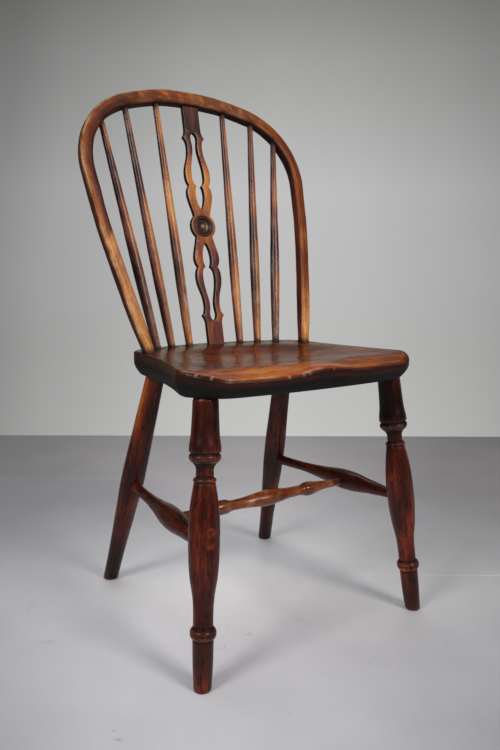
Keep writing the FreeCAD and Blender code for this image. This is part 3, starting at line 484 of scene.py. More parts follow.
def leg_beech():
    """Turned beech legs and side stretchers under a dark mahogany stain, with old knocks and pits."""
    stops = [(0.0, "#0b0302"), (0.30, "#200a06"), (0.55, "#46150a"), (0.78, "#7c2f10"), (1.0, "#b3641c")]
    return wood("leg_beech", stops, wear_and_highlight_colour="#96604a", pore="#0b0403", ring_mm=3.6,
                blotch=0.80, streak=0.45, fibre=0.60, ring=0.06,
                pore_share=0.60, scar_share=0.80, gloss=0.30, shine=0.22, coat=0.08, hollow_mm=0.45)


def stretcher_beech():
    """Turned beech cross stretcher, rubbed to a warm brown by shoes."""
    stops = [(0.0, "#140605"), (0.30, "#38130a"), (0.55, "#682a12"), (0.80, "#9c531c"), (1.0, "#c0823e")]
    return wood("stretcher_beech", stops, wear_and_highlight_colour="#d0a080", pore="#200c07", ring_mm=3.2,
                blotch=0.50, streak=0.40, fibre=0.45, ring=0.08,
                pore_share=0.40, scar_share=0.40, gloss=0.28, shine=0.45, coat=0.30, hollow_mm=1.2)


def bare_oak():
    """Wedges driven into the hoop's ends: bare oak, greyed by dust."""
    stops = [(0.0, "#3a2618"), (0.5, "#7d5a3a"), (1.0, "#a98558")]
    return wood("bare_oak", stops, wear_and_highlight_colour="#b0906a", pore="#2c1c12", ring_mm=2.4,
                blotch=0.4, fibre=0.4,
                pore_share=0.40, scar_share=0.0, gloss=0.62, shine=0.3, coat=0.0, hollow_mm=0.02)


# Seat

def arc_points(a, b, c, count):
    """Points on the arc from a to c through b, without the last one."""
    a, b, c = (np.asarray(p, float) for p in (a, b, c))
    d = 2 * (a[0] * (b[1] - c[1]) + b[0] * (c[1] - a[1]) + c[0] * (a[1] - b[1]))
    centre = np.array([
        ((a @ a) * (b[1] - c[1]) + (b @ b) * (c[1] - a[1]) + (c @ c) * (a[1] - b[1])) / d,
        ((a @ a) * (c[0] - b[0]) + (b @ b) * (a[0] - c[0]) + (c @ c) * (b[0] - a[0])) / d])
    angles = [math.atan2(*(p - centre)[::-1]) for p in (a, b, c)]
    sweep = (angles[2] - angles[0]) % (2 * math.pi)
    if (angles[1] - angles[0]) % (2 * math.pi) > sweep:
        sweep -= 2 * math.pi
    turn = angles[0] + sweep * np.arange(count) / count
    return centre + np.linalg.norm(a - centre) * np.column_stack([np.cos(turn), np.sin(turn)])


SEAT_ARC_COUNTS = (170, 44, 118, 30)      # points on the front and the back, front corner, side, back corner


def seat_outline(inset):
    """Points round the board's edge, from the left end of the front edge, moved inwards by inset."""
    front_end = np.array([SEAT_FRONT_END[0] - inset / 2, SEAT_FRONT_END[1] + inset])
    wide = np.array([SEAT_WIDE[0] - inset, SEAT_WIDE[1] + inset / 2])
    waist = np.array([SEAT_WAIST[0] - inset, SEAT_WAIST[1]])
    rear = np.array([SEAT_REAR[0] - inset, SEAT_REAR[1] - inset / 2])
    back_end = np.array([SEAT_BACK_END[0] - inset / 2, SEAT_BACK_END[1] - inset])
    front = np.array([0.0, SEAT_FRONT[1] + inset])
    back = np.array([0.0, SEAT_BACK[1] - inset])
    corner = (front_end + wide) / 2 + unit((1, -1)) * (CORNER_SOFT - inset * 0.3)
    rear_corner = (rear + back_end) / 2 + unit((1, 1)) * REAR_SOFT
    flip = np.array([-1.0, 1.0])
    across, soft, side, end = SEAT_ARC_COUNTS
    right = [(front_end, corner, wide, soft), (wide, waist, rear, side), (rear, rear_corner, back_end, end)]
    left = [(c * flip, b * flip, a * flip, count) for a, b, c, count in right[::-1]]
    arcs = ([(front_end * flip, front, front_end, across)] + right
            + [(back_end, back, back_end * flip, across)] + left)
    return np.vstack([arc_points(*arc) for arc in arcs])


def seat_top(x, y):
    """Height of the carved top."""
    reach = np.hypot(x / DISH_HALF[0], (y - DISH_CENTRE) / DISH_HALF[1])
    dish = DISH_DEPTH * (1 - ease((reach - DISH_FLOOR) / (1 - DISH_FLOOR)))
    ahead = ease((DISH_CENTRE - y) / (DISH_CENTRE - CREST))
    ridge = bell(x, POMMEL_HALF)
    thigh = 1 - ease((abs(x) - THIGH_X) / THIGH_FADE)
    dish = dish - POMMEL_LIFT * ridge * ahead * dish / DISH_DEPTH
    crest = CREST_DROP * ahead * np.maximum(thigh, ridge)
    past = np.maximum(0.0, (CREST - y) / (CREST - SEAT_FRONT[1]))
    roll = (THIGH_DROP - CREST_DROP) * thigh * (1 - ridge) + (POMMEL_DROP - CREST_DROP) * ridge
    carved = SADDLE_LIFT - dish - crest - roll * past ** 1.6
    soft = 0.35
    return SEAT_TOP - soft * np.logaddexp(0.0, -carved / soft)


def softened(loop, reach):
    """Closed outline with its corners eased over reach points on both sides."""
    kernel = np.hanning(2 * reach + 3)[1:-1]
    kernel = kernel / kernel.sum()
    return sum(share * np.roll(loop, i - reach, axis=0) for i, share in enumerate(kernel))


SEAT_ROWS = (96, 12, 16, 5, 20)      # rings on the top, rolled rim, side, lower edge, underside
TOP_REACH = 6                        # points over which the outline's corners are eased, above and below
UNDER_REACH = 14
RIM_STEP = 10.0                      # inset of the outline that gives the way inward from the edge


def seat_board(material):
    """Board with a dished top, a worn and chipped rim with a painted highlight, sloping sides and a flat
    underside.
    """
    rings = []
    marks = []

    def ring(place, height, part, share, turn=0.0):
        rings.append(np.column_stack([place, np.broadcast_to(height, len(place))]))
        marks.append((part, share, turn))

    top_rows, roll_rows, side_rows, lower_rows, under_rows = SEAT_ROWS
    middle = np.array(SEAT_MIDDLE)
    edge = softened(seat_outline(0.0), TOP_REACH)
    around = len(edge)
    front = ease((-edge[:, 1] - 130) / 60)
    radius = mix(EDGE_ROUND, FRONT_ROUND, front)
    rim = edge + (softened(seat_outline(RIM_STEP), TOP_REACH) - edge) * (radius / RIM_STEP)[:, None]
    rim_height = seat_top(rim[:, 0], rim[:, 1])
    travelled = np.cumsum(np.linalg.norm(np.diff(edge, axis=0, prepend=edge[-1:]), axis=1))
    knocked = ease((70 - edge[:, 0]) / 90)
    chips = np.clip(ripple(41, 9, travelled) * ripple(42, 60, travelled) - 0.20, 0, 1) * front * knocked
    for share in 1 - np.linspace(1, 0, top_rows) ** 1.3:
        place = mix(middle, rim, max(share, 1e-4))
        x, y = place.T
        height = seat_top(x, y) + 0.05 * (ripple(5, 30, x, y) - 1) + 0.10 * (ripple(6, 80, x, y) - 1)
        ring(place, height, "top", share)
    edge_height = rim_height - radius * 0.9
    for turn in np.linspace(0, math.pi / 2, roll_rows)[1:]:
        bite = chips * math.sin(2 * turn)
        place = mix(edge, rim, (1 - math.sin(turn) + bite * 1.2 / radius)[:, None])
        ring(place, mix(rim_height, edge_height, 1 - math.cos(turn)) - bite * 0.9, "rim", 1.0, turn)
    knee = SEAT_UNDER + BEVEL_HEIGHT
    bottom = softened(seat_outline(UNDER_INSET), UNDER_REACH)
    low = SEAT_UNDER + UNDER_ROUND * 0.6
    for share in np.linspace(0, 1, side_rows)[1:]:
        height = mix(edge_height, low, share)
        slope = np.clip((knee - height) / BEVEL_HEIGHT, 0, 1) ** 1.7
        ring(mix(edge, bottom, slope[:, None]), height, "side", share)
    under = softened(seat_outline(UNDER_INSET + UNDER_ROUND * 0.8), UNDER_REACH)
    for turn in np.linspace(0, math.pi / 2, lower_rows)[1:]:
        ring(mix(under, bottom, math.cos(turn)), low - UNDER_ROUND * 0.6 * math.sin(turn), "side", 1.0)
    for share in np.linspace(1, 0, under_rows)[1:]:
        ring(mix(middle, under, max(share, 1e-4)), SEAT_UNDER, "under", share)

    points = np.vstack(rings)
    x, y, z = points.T
    part, share, turn = (np.repeat(values, around) for values in zip(*marks))
    front, chips = (np.tile(values, len(rings)) for values in (front, chips))
    on_top, on_rim, on_side, on_under = (part == name for name in ("top", "rim", "side", "under"))
    # The front slope is rubbed light, most of all on its left half; the left end and the back are darkened
    # as painted shade, and the right thigh is a little darker
    slope = ease((CREST + 14 - y) / 50) * (1 - bell(x, POMMEL_HALF * 0.8) * 0.5)
    top_tone = 0.20 * slope - 0.03 - 0.12 * ease((-x - 110) / 70) - 0.08 * bell(x - 120, 60)
    top_tone -= 0.26 * ease((y - 20) / 60)
    # The front of the pommel carries a painted highlight
    top_tone += 0.12 * slope * ease((30 - x) / 80) + 0.08 * bell(x, 40) * ease((-150 - y) / 40)
    near_rim = ease((share - 0.90) / 0.10) * (1 - front)
    # The rim's fall and the sides grow darker towards the bottom
    rolled = ease((turn - 0.6) / 0.7)
    rim_tone = mix(top_tone - 0.10 * (1 - front), -0.20, rolled)
    side_tone = -0.20 - 0.35 * ease((share - 0.15) / 0.4)
    tone = np.select([on_top, on_rim, on_side], [top_tone - 0.16 * near_rim, rim_tone, side_tone], -0.35)
    # The front rim is rubbed pale in patches and carries a painted highlight, strongest on its left half;
    # its chips show bare wood
    broken = np.clip(0.25 + 0.7 * ripple(43, 34, x, y), 0, 1)
    left = ease((60 - x) / 90)
    wear_and_highlight = on_rim * bell(turn - 0.66, 0.22) * front * broken * (0.10 + 0.90 * left)
    wear_and_highlight = np.maximum(wear_and_highlight, on_rim * bell(turn - 0.9, 0.4) * np.clip(2.2 * chips, 0, 0.9))
    wear_and_highlight = wear_and_highlight + np.where(on_top, slope * (0.05 + 0.12 * left), 0.0)
    # The sides darken towards the bottom, the underside and the rim's fall are dark, the right half of the
    # front rim most; old polish and dirt darken the foot of every stick
    grime_and_shade = np.select([on_side, on_under], [0.45 + 0.5 * ease((share - 0.1) / 0.4), 0.5], 0.0)
    grime_and_shade = grime_and_shade + on_rim * np.maximum(0.35 * rolled, 0.55 * (1 - left) * ease((turn - 0.2) / 0.3))
    for foot_x, foot_y, reach in seat_joints():
        dark = bell(np.maximum(0, np.hypot(x - foot_x, y - foot_y) - reach), 5.0)
        grime_and_shade = np.maximum(grime_and_shade, np.where(on_top, 0.75 * dark, 0.0))
    grime_and_shade = np.maximum(grime_and_shade, 0.5 * chips * np.sin(2 * turn))
    faces = [face[::-1] for face in ring_faces(len(rings), around)]
    marks = (np.column_stack([y + 310.0, z - 395.0, x]), wear_and_highlight, grime_and_shade, tone)
    return make_piece("seat_board", points, faces, marks, ["seat"], material)


def seat_joints():
    """Where sticks enter the seat's top: (x, y, radius)."""
    found = [(side * HOOP_FOOT[0], HOOP_FOOT[1], HOOP_FOOT_DIAMETER / 2) for side in (-1, 1)]
    for x, y in SPINDLE_SEAT:
        found += [(x, y, SPINDLE_RADII[0]), (-x, y, SPINDLE_RADII[0])]
    found += [(x, SPLAT_SEAT_Y, SPLAT_THICKNESS / 2) for x in (-12, -6, 0, 6, 12)]
    return found


# Hoop

def hoop_arcs():
    """The tangent arcs of the right half: (centre, radius, first angle, last angle)."""
    crown = np.array([0.0, HOOP_RISE - CROWN_RADIUS])
    shoulder_x = HOOP_WIDE - SHOULDER_RADIUS
    gap = CROWN_RADIUS - SHOULDER_RADIUS
    shoulder = np.array([shoulder_x, crown[1] + math.sqrt(gap * gap - shoulder_x * shoulder_x)])
    foot = np.array([HOOP_FOOT[0], 0.0])
    near = LIMB_RADIUS - SHOULDER_RADIUS
    apart = np.linalg.norm(shoulder - foot)
    reach = (LIMB_RADIUS ** 2 - near ** 2 + apart ** 2) / (2 * apart)
    rise = math.sqrt(LIMB_RADIUS ** 2 - reach ** 2)
    way = (shoulder - foot) / apart
    limb = foot + way * reach + np.array([-way[1], way[0]]) * rise
    high = shoulder + (shoulder - crown) / gap * SHOULDER_RADIUS
    low = shoulder + (shoulder - limb) / near * SHOULDER_RADIUS
    turn = [math.atan2(*(p - c)[::-1]) for p, c in
            ((foot, limb), (low, limb), (low, shoulder), (high, shoulder), (high, crown))]
    return [(limb, LIMB_RADIUS, turn[0], turn[1]), (shoulder, SHOULDER_RADIUS, turn[2], turn[3]),
            (crown, CROWN_RADIUS, turn[4], math.pi / 2)]


def hoop_height(x):
    """Distance up the leaning plane of the hoop's centre line at a half width x."""
    for centre, radius, first, _ in hoop_arcs()[:0:-1]:
        if x <= centre[0] + radius * math.cos(first) + 1e-6:
            return centre[1] + math.sqrt(radius ** 2 - (x - centre[0]) ** 2)
    raise ValueError("no hoop above that place")


def in_hoop_plane(x, s):
    return np.array([x, HOOP_FOOT[1] + s * math.sin(LEAN), SEAT_TOP + s * math.cos(LEAN)])


def rounded_box(face, depth, corner):
    """Section points (u outwards, v backwards), with the place of each on the section."""
    corner = min(corner, face / 2 - 0.4, depth / 2 - 0.4)
    points = []
    for k, (su, sv) in enumerate(((1, 1), (-1, 1), (-1, -1), (1, -1))):
        centre = np.array([su * (face / 2 - corner), sv * (depth / 2 - corner)])
        angles = np.linspace(0, math.pi / 2, 7) + k * math.pi / 2
        points.append(centre + corner * np.column_stack([np.cos(angles), np.sin(angles)]))
    loop = []
    for k, arc in enumerate(points):
        following = points[(k + 1) % 4]
        loop.append(arc)
        loop.append(mix(arc[-1], following[0], np.array([[0.25], [0.5], [0.75]])))
    return np.vstack(loop)


def hoop_stations():
    """Centre line from foot to foot: (x, s, outward turn, place along it)."""
    stations = []
    travelled = 0.0
    for centre, radius, first, last in hoop_arcs():
        count = round(radius * (last - first) / HOOP_STEP)
        for i in range(count):
            turn = mix(first, last, i / count)
            stations.append((centre[0] + radius * math.cos(turn), centre[1] + radius * math.sin(turn),
                             turn, travelled + radius * (turn - first)))
        travelled += radius * (last - first)
    stations.append((0.0, HOOP_RISE, math.pi / 2, travelled))
    left = [(-x, s, math.pi - turn, 2 * travelled - place) for x, s, turn, place in stations[-2::-1]]
    return stations + left, travelled


def bent_hoop(material):
    """Rod with eased corners from foot to foot, turned round at its feet and uneven by hand."""
    stations, half = hoop_stations()
    back = np.array([0.0, math.cos(LEAN), -math.sin(LEAN)])
    rows = []
    sections = []
    for x, s, turn, place in stations:
        rise = min(place, 2 * half - place)
        share = ease((rise / half - HOOP_EVEN_SHARE) / (1 - HOOP_EVEN_SHARE))
        round_off = 1 - ease(rise / HOOP_TAPER)
        face, depth = (mix(mix(limb, crown, share), HOOP_FOOT_DIAMETER, round_off)
                       for limb, crown in zip(LIMB_SECTION, CROWN_SECTION))
        face += 0.35 * (ripple(11, 90, np.array(place)) - 1) * (1 - round_off)
        depth += 0.30 * (ripple(12, 80, np.array(place)) - 1) * (1 - round_off)
        section = rounded_box(face, depth, mix(HOOP_CORNER, HOOP_FOOT_DIAMETER / 2, round_off))
        out = np.array([math.cos(turn), math.sin(turn) * math.sin(LEAN), math.sin(turn) * math.cos(LEAN)])
        dents = 0.12 * (ripple(13, 14, section[:, 0], section[:, 1], np.full(len(section), place * 0.5)) - 1)
        grown = section * (1 + dents / 10)[:, None]
        wander = LIMB_WANDER * bell(rise - 225, 62) + CROWN_WANDER * bell(rise - half, 60)
        if place > half:
            wander += SHOULDER_WANDER * bell(rise - half + 62, 38)
        rows.append(in_hoop_plane(x, s) + out * (grown[:, :1] + wander) + back * grown[:, 1:])
        sections.append(np.column_stack([section / (np.array([face, depth]) / 2),
                                         np.full(len(section), place)]))
    sink = in_hoop_plane(0, -JOINT_DEPTH) - in_hoop_plane(0, 0)
    rows = [rows[0] + sink] + rows + [rows[-1] + sink]
    sections = [sections[0]] + sections + [sections[-1]]
    around = len(rows[0])
    u, v, place = np.vstack(sections).T
    points = np.vstack(rows)
    rise = np.minimum(place, 2 * half - place)
    on_front = ease((-v - 0.5) / 0.4)
    inside = ease((-u - 0.55) / 0.4) * (1 - on_front)
    outside = ease((u - 0.55) / 0.4) * (1 - on_front)
    left = place > half
    crown = ease((rise / half - 0.70) / 0.15)
    shoulder = ease((rise / half - 0.45) / 0.2)
    # Both limbs are golden low down, rubbed and with a painted highlight, the crown in spots; the inner and
    # outer faces are darkened as painted shade
    plain_low = 1 - ease((rise + 9 * u - LEFT_WORN_AND_LIT_TO) / 14)
    left_tone = mix(mix(-0.22, 0.06, ease((u + 0.3) / 0.7)), 0.26 + 0.06 * u, plain_low)
    right_tone = 0.44 - 0.40 * ease((rise - 20) / 150)
    spots = np.clip(ripple(17, 26, place, u * 12), 0, 1)
    crown_tone = -0.02 + 0.26 * bell(u - 0.1, 0.60) * spots
    tone = on_front * mix(np.where(left, left_tone, right_tone), crown_tone, crown)
    tone = tone - inside * np.where(left, 0.34, 0.10 + 0.26 * shoulder)
    tone = tone - outside * np.where(left, 0.30, 0.10)
    # The front-outer arris is rubbed and carries a painted highlight, strongest on the left limb
    corner = bell(u - 0.85, 0.28) * bell(v + 0.85, 0.35)
    wear_and_highlight = corner * np.where(left, 0.9, 0.25) * (1 - 0.6 * crown)
    wear_and_highlight = wear_and_highlight * np.clip(0.7 + 0.5 * ripple(15, 90, place), 0, 1)
    wear_and_highlight = wear_and_highlight + on_front * np.where(left, 0.42 * plain_low, 0.50 * (1 - ease((rise - 20) / 110)))
    wear_and_highlight = wear_and_highlight + 0.20 * on_front * crown * np.where(left, 0.3, 1.0)
    # The inner face is darkened as painted shade; dirt lies at the feet and where the spindles and the splat
    # enter
    grime_and_shade = 0.75 * inside * np.where(left | (shoulder > 0.5), 1.0, 0.3) + 0.85 * bell(rise, 5.0)
    joints = [in_hoop_plane(side * x, hoop_height(x)) for x in SPINDLE_HOOP_X for side in (-1, 1)]
    spots = [bell(np.linalg.norm(points - joint, axis=1) - 10, 7) for joint in joints]
    splat_top = in_hoop_plane(0, HOOP_RISE - CROWN_SECTION[0] / 2)[2]
    spots.append(bell(np.maximum(0, np.abs(points[:, 0]) - 14), 5) * bell(points[:, 2] - splat_top, 8))
    grime_and_shade = np.maximum(grime_and_shade, 0.8 * np.max(spots, axis=0) * ease((-u - 0.3) / 0.5))
    marks = (np.column_stack([u * 11 + 48.0, v * 11 + 20.0, place]), wear_and_highlight, grime_and_shade, tone)
    faces = ring_faces(len(rows), around, capped=True)
    return make_piece("bent_hoop", points, faces, marks, ["hoop"], material)


# Spindles

SPINDLE_TONES = {"inner_left": 0.16, "middle_left": 0.0, "outer_left": -0.16,
                 "inner_right": -0.02, "middle_right": 0.0, "outer_right": -0.08}


def spindle(number, side, material):
    """A slim stick, thickest a third of the way up, from the seat into the hoop."""
    name = sided(SPINDLES[number], side)
    low = np.array([*SPINDLE_SEAT[number], SEAT_TOP])
    high = in_hoop_plane(SPINDLE_HOOP_X[number], hoop_height(SPINDLE_HOOP_X[number]))
    length = np.linalg.norm(high - low)
    foot, belly, top = SPINDLE_RADII
    neck = length - SPINDLE_PLAIN_TOP
    rows = profile([
        [(-JOINT_DEPTH, foot), (0, foot)],
        [(SPINDLE_BELLY * 0.35, mix(foot, belly, 0.52)), (SPINDLE_BELLY, belly),
         (mix(SPINDLE_BELLY, neck, 0.5), mix(top, belly, 0.52)), (neck, top)],
        [(length - 4, top)],
    ])
    flip = np.array([side, 1, 1])
    seed = 60 + number * 2 + (side > 0)
    turned = Turning(rows, low * flip, high * flip, seed, uneven=0.16)
    t = turned.t
    to_right = turned.out @ CAMERA_RIGHT
    # The side facing the camera's right is made golden as painted light, and the lower part lighter as a
    # painted highlight; long streaks vary the stain
    turned.tone += SPINDLE_TONES[name] + 0.34 * to_right - 0.04 + 0.08 * bell(t - 30, 60)
    turned.tone += 0.22 * ripple(seed + 40, 150, t, turned.angle * 9)
    turned.grime_and_shade = np.maximum(bell(t, 4.0), bell(length - 12 - t, 8.0)) * 0.9
    turned.wear_and_highlight = 0.25 * np.clip(ripple(seed, 70, t, turned.angle * 8), 0, 1)
    # The lower right-hand side is rubbed and carries a painted highlight
    turned.wear_and_highlight += (0.8 if number == 0 else 0.5) * np.clip(to_right + 0.3, 0, 1) * bell(t - 40, 80)
    return turned.made("spindle_stick_" + name, ["spindle_" + name], "spindles", material)


# Splat and roundel

def splat_axes():
    foot = np.array([0.0, SPLAT_SEAT_Y, SEAT_TOP])
    up = unit(in_hoop_plane(0, HOOP_RISE) - foot)
    front = np.cross((1.0, 0.0, 0.0), up)
    return foot, up, front


def pierced_splat(material):
    """The sawn splat, with its arrises eased. It keeps the frame's own outline."""
    made = new_object("pierced_splat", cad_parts["splat"].data.copy())
    weld = made.modifiers.new("weld", "WELD")
    weld.merge_threshold = 0.00002
    plain = made.modifiers.new("plain", "DECIMATE")
    plain.decimate_type = "DISSOLVE"
    plain.angle_limit = math.radians(1.0)
    eased = made.modifiers.new("eased", "BEVEL")
    eased.width = SPLAT_BEVEL * MM
    eased.segments = 3
    eased.limit_method = "ANGLE"
    eased.angle_limit = math.radians(50)
    even = made.modifiers.new("even", "TRIANGULATE")
    even.quad_method = "BEAUTY"
    mesh = bpy.data.meshes.new_from_object(made.evaluated_get(bpy.context.evaluated_depsgraph_get()))
    made.modifiers.clear()
    made.data = mesh
    mesh.materials.clear()
    mesh.materials.append(material)
    for name in [a.name for a in mesh.attributes if a.name.startswith("custom")]:
        mesh.attributes.remove(mesh.attributes[name])
    foot, up, front = splat_axes()
    local = np.array([v.co for v in mesh.vertices]) / MM - foot
    add_marks(mesh, "POINT", {"grain": np.column_stack([local[:, 0] + 70, local @ front + 30, local @ up])})
    centres = np.array([p.center for p in mesh.polygons]) / MM - foot
    facing = np.array([p.normal for p in mesh.polygons]) @ front
    rise = centres @ up
    arm = bell(rise - SPLAT_LENGTH * 0.66, 75) + 0.2 * bell(rise - SPLAT_LENGTH * 0.35, 60)
    # The sawn edges are darkened by stain in the end grain and by painted shade; the front bevels are rubbed
    # and carry a painted highlight
    sawn = np.abs(facing) < 0.35
    front_bevel = (facing >= 0.35) & (facing < 0.985)
    uneven = 0.12 * ripple(31, 90, rise, centres[:, 0] * 2) - 0.16 * ease((rise - SPLAT_LENGTH + 60) / 20)
    face_tone = 0.40 * arm - 0.06 + 0.04 * bell(rise - 20, 30) + uneven
    grime_and_shade = np.maximum(np.where(sawn, 0.55, 0.0), 0.7 * bell(SPLAT_LENGTH - 16 - rise, 5))
    add_marks(mesh, "FACE", {"tone": np.where(sawn, -0.55, face_tone), "grime_and_shade": grime_and_shade,
                             "wear_and_highlight": np.where(front_bevel, 0.55, 0.0)})
    mesh.polygons.foreach_set("use_smooth", [p.area < LARGEST_SMOOTH_FACE * MM ** 2 for p in mesh.polygons])
    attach(made, "root")
    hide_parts("splat")
    return made


def roundel(material):
    """Turned disc: bead, groove, border, hollow with a ring, and a bright boss."""
    foot, up, front = splat_axes()
    centre = foot + up * SPLAT_LENGTH / 2 - front * SPLAT_THICKNESS / 2
    depths, radii = np.array(ROUNDEL_RINGS).T
    place = np.concatenate([[0.0], np.cumsum(np.hypot(np.diff(depths), np.diff(radii)))])
    fine = np.linspace(0, place[-1], ROUNDEL_ROWS)
    angles = np.linspace(0, 2 * math.pi, ROUNDEL_SIDES, endpoint=False)
    h, r, tone = (np.repeat(np.interp(fine, place, values)[:, None], ROUNDEL_SIDES, axis=1)
                  for values in (SPLAT_THICKNESS - depths, radii, np.interp(radii, *ROUNDEL_TONES)))
    x = r * np.cos(angles)
    y = r * np.sin(angles)
    points = centre + x[..., None] * np.array([1.0, 0.0, 0.0]) + y[..., None] * up + h[..., None] * front
    grime_and_shade = np.maximum(np.interp(r, (18.8, 19.5), (0.0, 0.9)), np.clip(-tone - 0.1, 0, 1) * 0.6)
    marks = (np.stack([x + 60, h + 20, y], axis=-1), np.zeros_like(r), grime_and_shade, tone)
    faces = ring_faces(ROUNDEL_ROWS, ROUNDEL_SIDES)
    return make_piece("turned_roundel", points, faces, marks, ["splat_roundel"], material)


# Legs

def front_leg_rows(length):
    """A round foot, a ring, a long vase, a collar, a neck, a cushion and a sleeve.

    Negative places are counted down from the head.
    """
    runs = [
        [(0.0, 9.6), (0.6, 11.4), (1.6, 12.3), (3.4, 12.8)],
        [(34.0, 14.4), (68.0, 15.1)],
        [(70.5, 15.0), (72.0, 16.4), (75.0, 18.2), (78.6, 18.8)],
        [(79.6, 18.1), (80.6, 18.9)],
        [(84.0, 18.0), (86.5, 15.6), (88.0, 14.4)],
        [(98.0, 14.3), (126.0, 15.5), (156.0, 19.9), (202.0, 22.4), (244.0, 21.4), (268.0, 18.4),
         (-118.0, 15.4)],
        [(-117.0, 14.6), (-116.2, 15.6)],
        [(-115.2, 16.3), (-113.0, 16.4), (-111.4, 15.4)],
        [(-110.8, 14.0), (-106.0, 12.8), (-101.5, 12.4), (-95.0, 13.8), (-90.5, 17.0)],
        [(-89.6, 18.4), (-87.0, 20.9), (-82.5, 22.8), (-79.0, 22.0), (-77.4, 20.2)],
        [(-76.4, 19.9), (-75.6, 21.6), (-74.6, 22.7)],
        [(-71.0, 22.8), (-54.0, 20.6), (-30.0, 19.2), (-4.5, 18.4)],
        [(-0.5, 16.6), (length + JOINT_DEPTH, 16.0)],
    ]
    return profile([[(place + length * (place < 0), radius) for place, radius in run] for run in runs])


def rear_leg_rows(length):
    """One long swelling."""
    return profile([
        [(0.0, 10.4), (0.6, 12.1), (1.6, 12.9), (3.4, 13.3)],
        [(65.0, 14.4), (138.0, 17.6), (215.0, 20.4), (mix(215.0, length, 0.5), 18.3), (length, 15.8)],
        [(length + JOINT_DEPTH, 15.8)],
    ])


def leg_line(foot, head, side):
    return np.array([foot[0] * side, foot[1], 0.0]), np.array([head[0] * side, head[1], SEAT_UNDER])


def on_line(line, height):
    return mix(line[0], line[1], height / SEAT_UNDER)


def front_leg(side, material):
    name = sided("front", side)
    line = leg_line(FRONT_FOOT, FRONT_HEAD, side)
    length = np.linalg.norm(line[1] - line[0])
    seed = 80 + (side > 0)
    turned = Turning(front_leg_rows(length), line[0], line[1], seed, uneven=0.14, level=True)
    t = turned.t
    socket = on_line(line, STRETCHER_HEIGHT)
    grime_and_shade = turned.grime_and_shade + 0.8 * bell(t - length, 3.0)
    grime_and_shade = np.maximum(grime_and_shade, 0.6 * bell(turned.near(socket, 24) - 1, 0.35))
    groove = bell(t - (length - 76.5), 1.6) + 0.7 * bell(t - (length - 117), 1.2) + 0.5 * bell(t - 79.6, 1.0)
    turned.grime_and_shade = np.maximum(grime_and_shade * 0.9, np.clip(groove, 0, 1))
    turned.tone += 0.22 * bell(t - 74.0, 3.0) - 0.14 * bell(t - (length - 40), 34) - 0.03 * bell(t, 90)
    turned.tone += 0.07 * bell(t - 200, 90)
    # The sleeve's top edge is rubbed pale and carries a painted highlight, and the cushion a thin painted
    # highlight line
    worn_and_lit_top = bell(t - (length - 2.6), 1.6)
    patchy = np.clip(0.3 + 0.9 * ripple(seed + 3, 14, turned.angle * 16), 0, 1)
    turned.wear_and_highlight = 0.12 * turned.wear_and_highlight + 0.8 * worn_and_lit_top * patchy + 0.15 * bell(t - (length - 83), 2.0)
    # The right front leg's sleeve is darkened as painted shade, as if under the seat's shadow
    if side > 0:
        turned.tone -= 0.14 * ease((t - length + 120) / 40)
    else:
        mark_left_leg(turned)
    return turned.made("turned_leg_" + name, ["leg_" + name], "legs", material)


def mark_left_leg(turned):
    """Two bare patches with a knot between them, and pits beside them."""
    t = turned.t
    facing = turned.angle_from(CAMERA_RIGHT * 0.52 + CAMERA_BACK * 0.85)
    bare = bell(t - 221, 6) * bell(facing, 0.28) + bell(t - 203, 4.5) * bell(facing, 0.30)
    turned.tone += 0.46 * bare * np.clip(0.8 + 0.5 * ripple(89, 9, t, turned.angle * 14), 0, 1)
    pitted = bell(turned.angle_from(CAMERA_BACK * 0.98 - CAMERA_RIGHT * 0.2), 0.22) * bell(t - 160, 75)
    pits = np.clip(ripple(88, 7, t * 0.5, turned.angle * 14) * 1.6 - 0.7, 0, 1)
    knot = bell(t - 219, 5.0) * bell(facing, 0.10)
    turned.grime_and_shade = np.max([turned.grime_and_shade, 0.8 * pitted * pits, 0.9 * knot], axis=0)
    turned.wear_and_highlight = np.maximum(turned.wear_and_highlight, 0.5 * bell(t - 226, 1.6) * bell(facing, 0.2))


def rear_leg(side, material):
    name = sided("rear", side)
    line = leg_line(REAR_FOOT, REAR_HEAD, side)
    length = np.linalg.norm(line[1] - line[0])
    seed = 90 + (side > 0)
    turned = Turning(rear_leg_rows(length), line[0], line[1], seed, uneven=0.18, level=True)
    t = turned.t
    socket = on_line(line, STRETCHER_HEIGHT)
    turned.grime_and_shade = np.maximum(0.85 * bell(t - length, 6.0), 0.6 * turned.near(socket, 22))
    turned.wear_and_highlight *= 0.3
    # The upper part of each rear leg is lighter on its side away from the camera's right, the left leg most;
    # both darken towards the foot
    lightened = bell(t - length + 60, 90) * np.clip(0.3 - turned.out @ CAMERA_RIGHT, 0, 1)
    turned.tone += 0.10 * ripple(seed, 120, t) + np.where(side < 0, 0.40, 0.05) * lightened
    turned.tone -= 0.14 * (1 - ease(t / 180))
    return turned.made("turned_leg_" + name, ["leg_" + name], "legs", material)


# Stretchers

def side_line(side):
    """Where a side stretcher meets the rear leg and the front leg."""
    return [on_line(leg_line(foot, head, side), STRETCHER_HEIGHT)
            for foot, head in ((REAR_FOOT, REAR_HEAD), (FRONT_FOOT, FRONT_HEAD))]


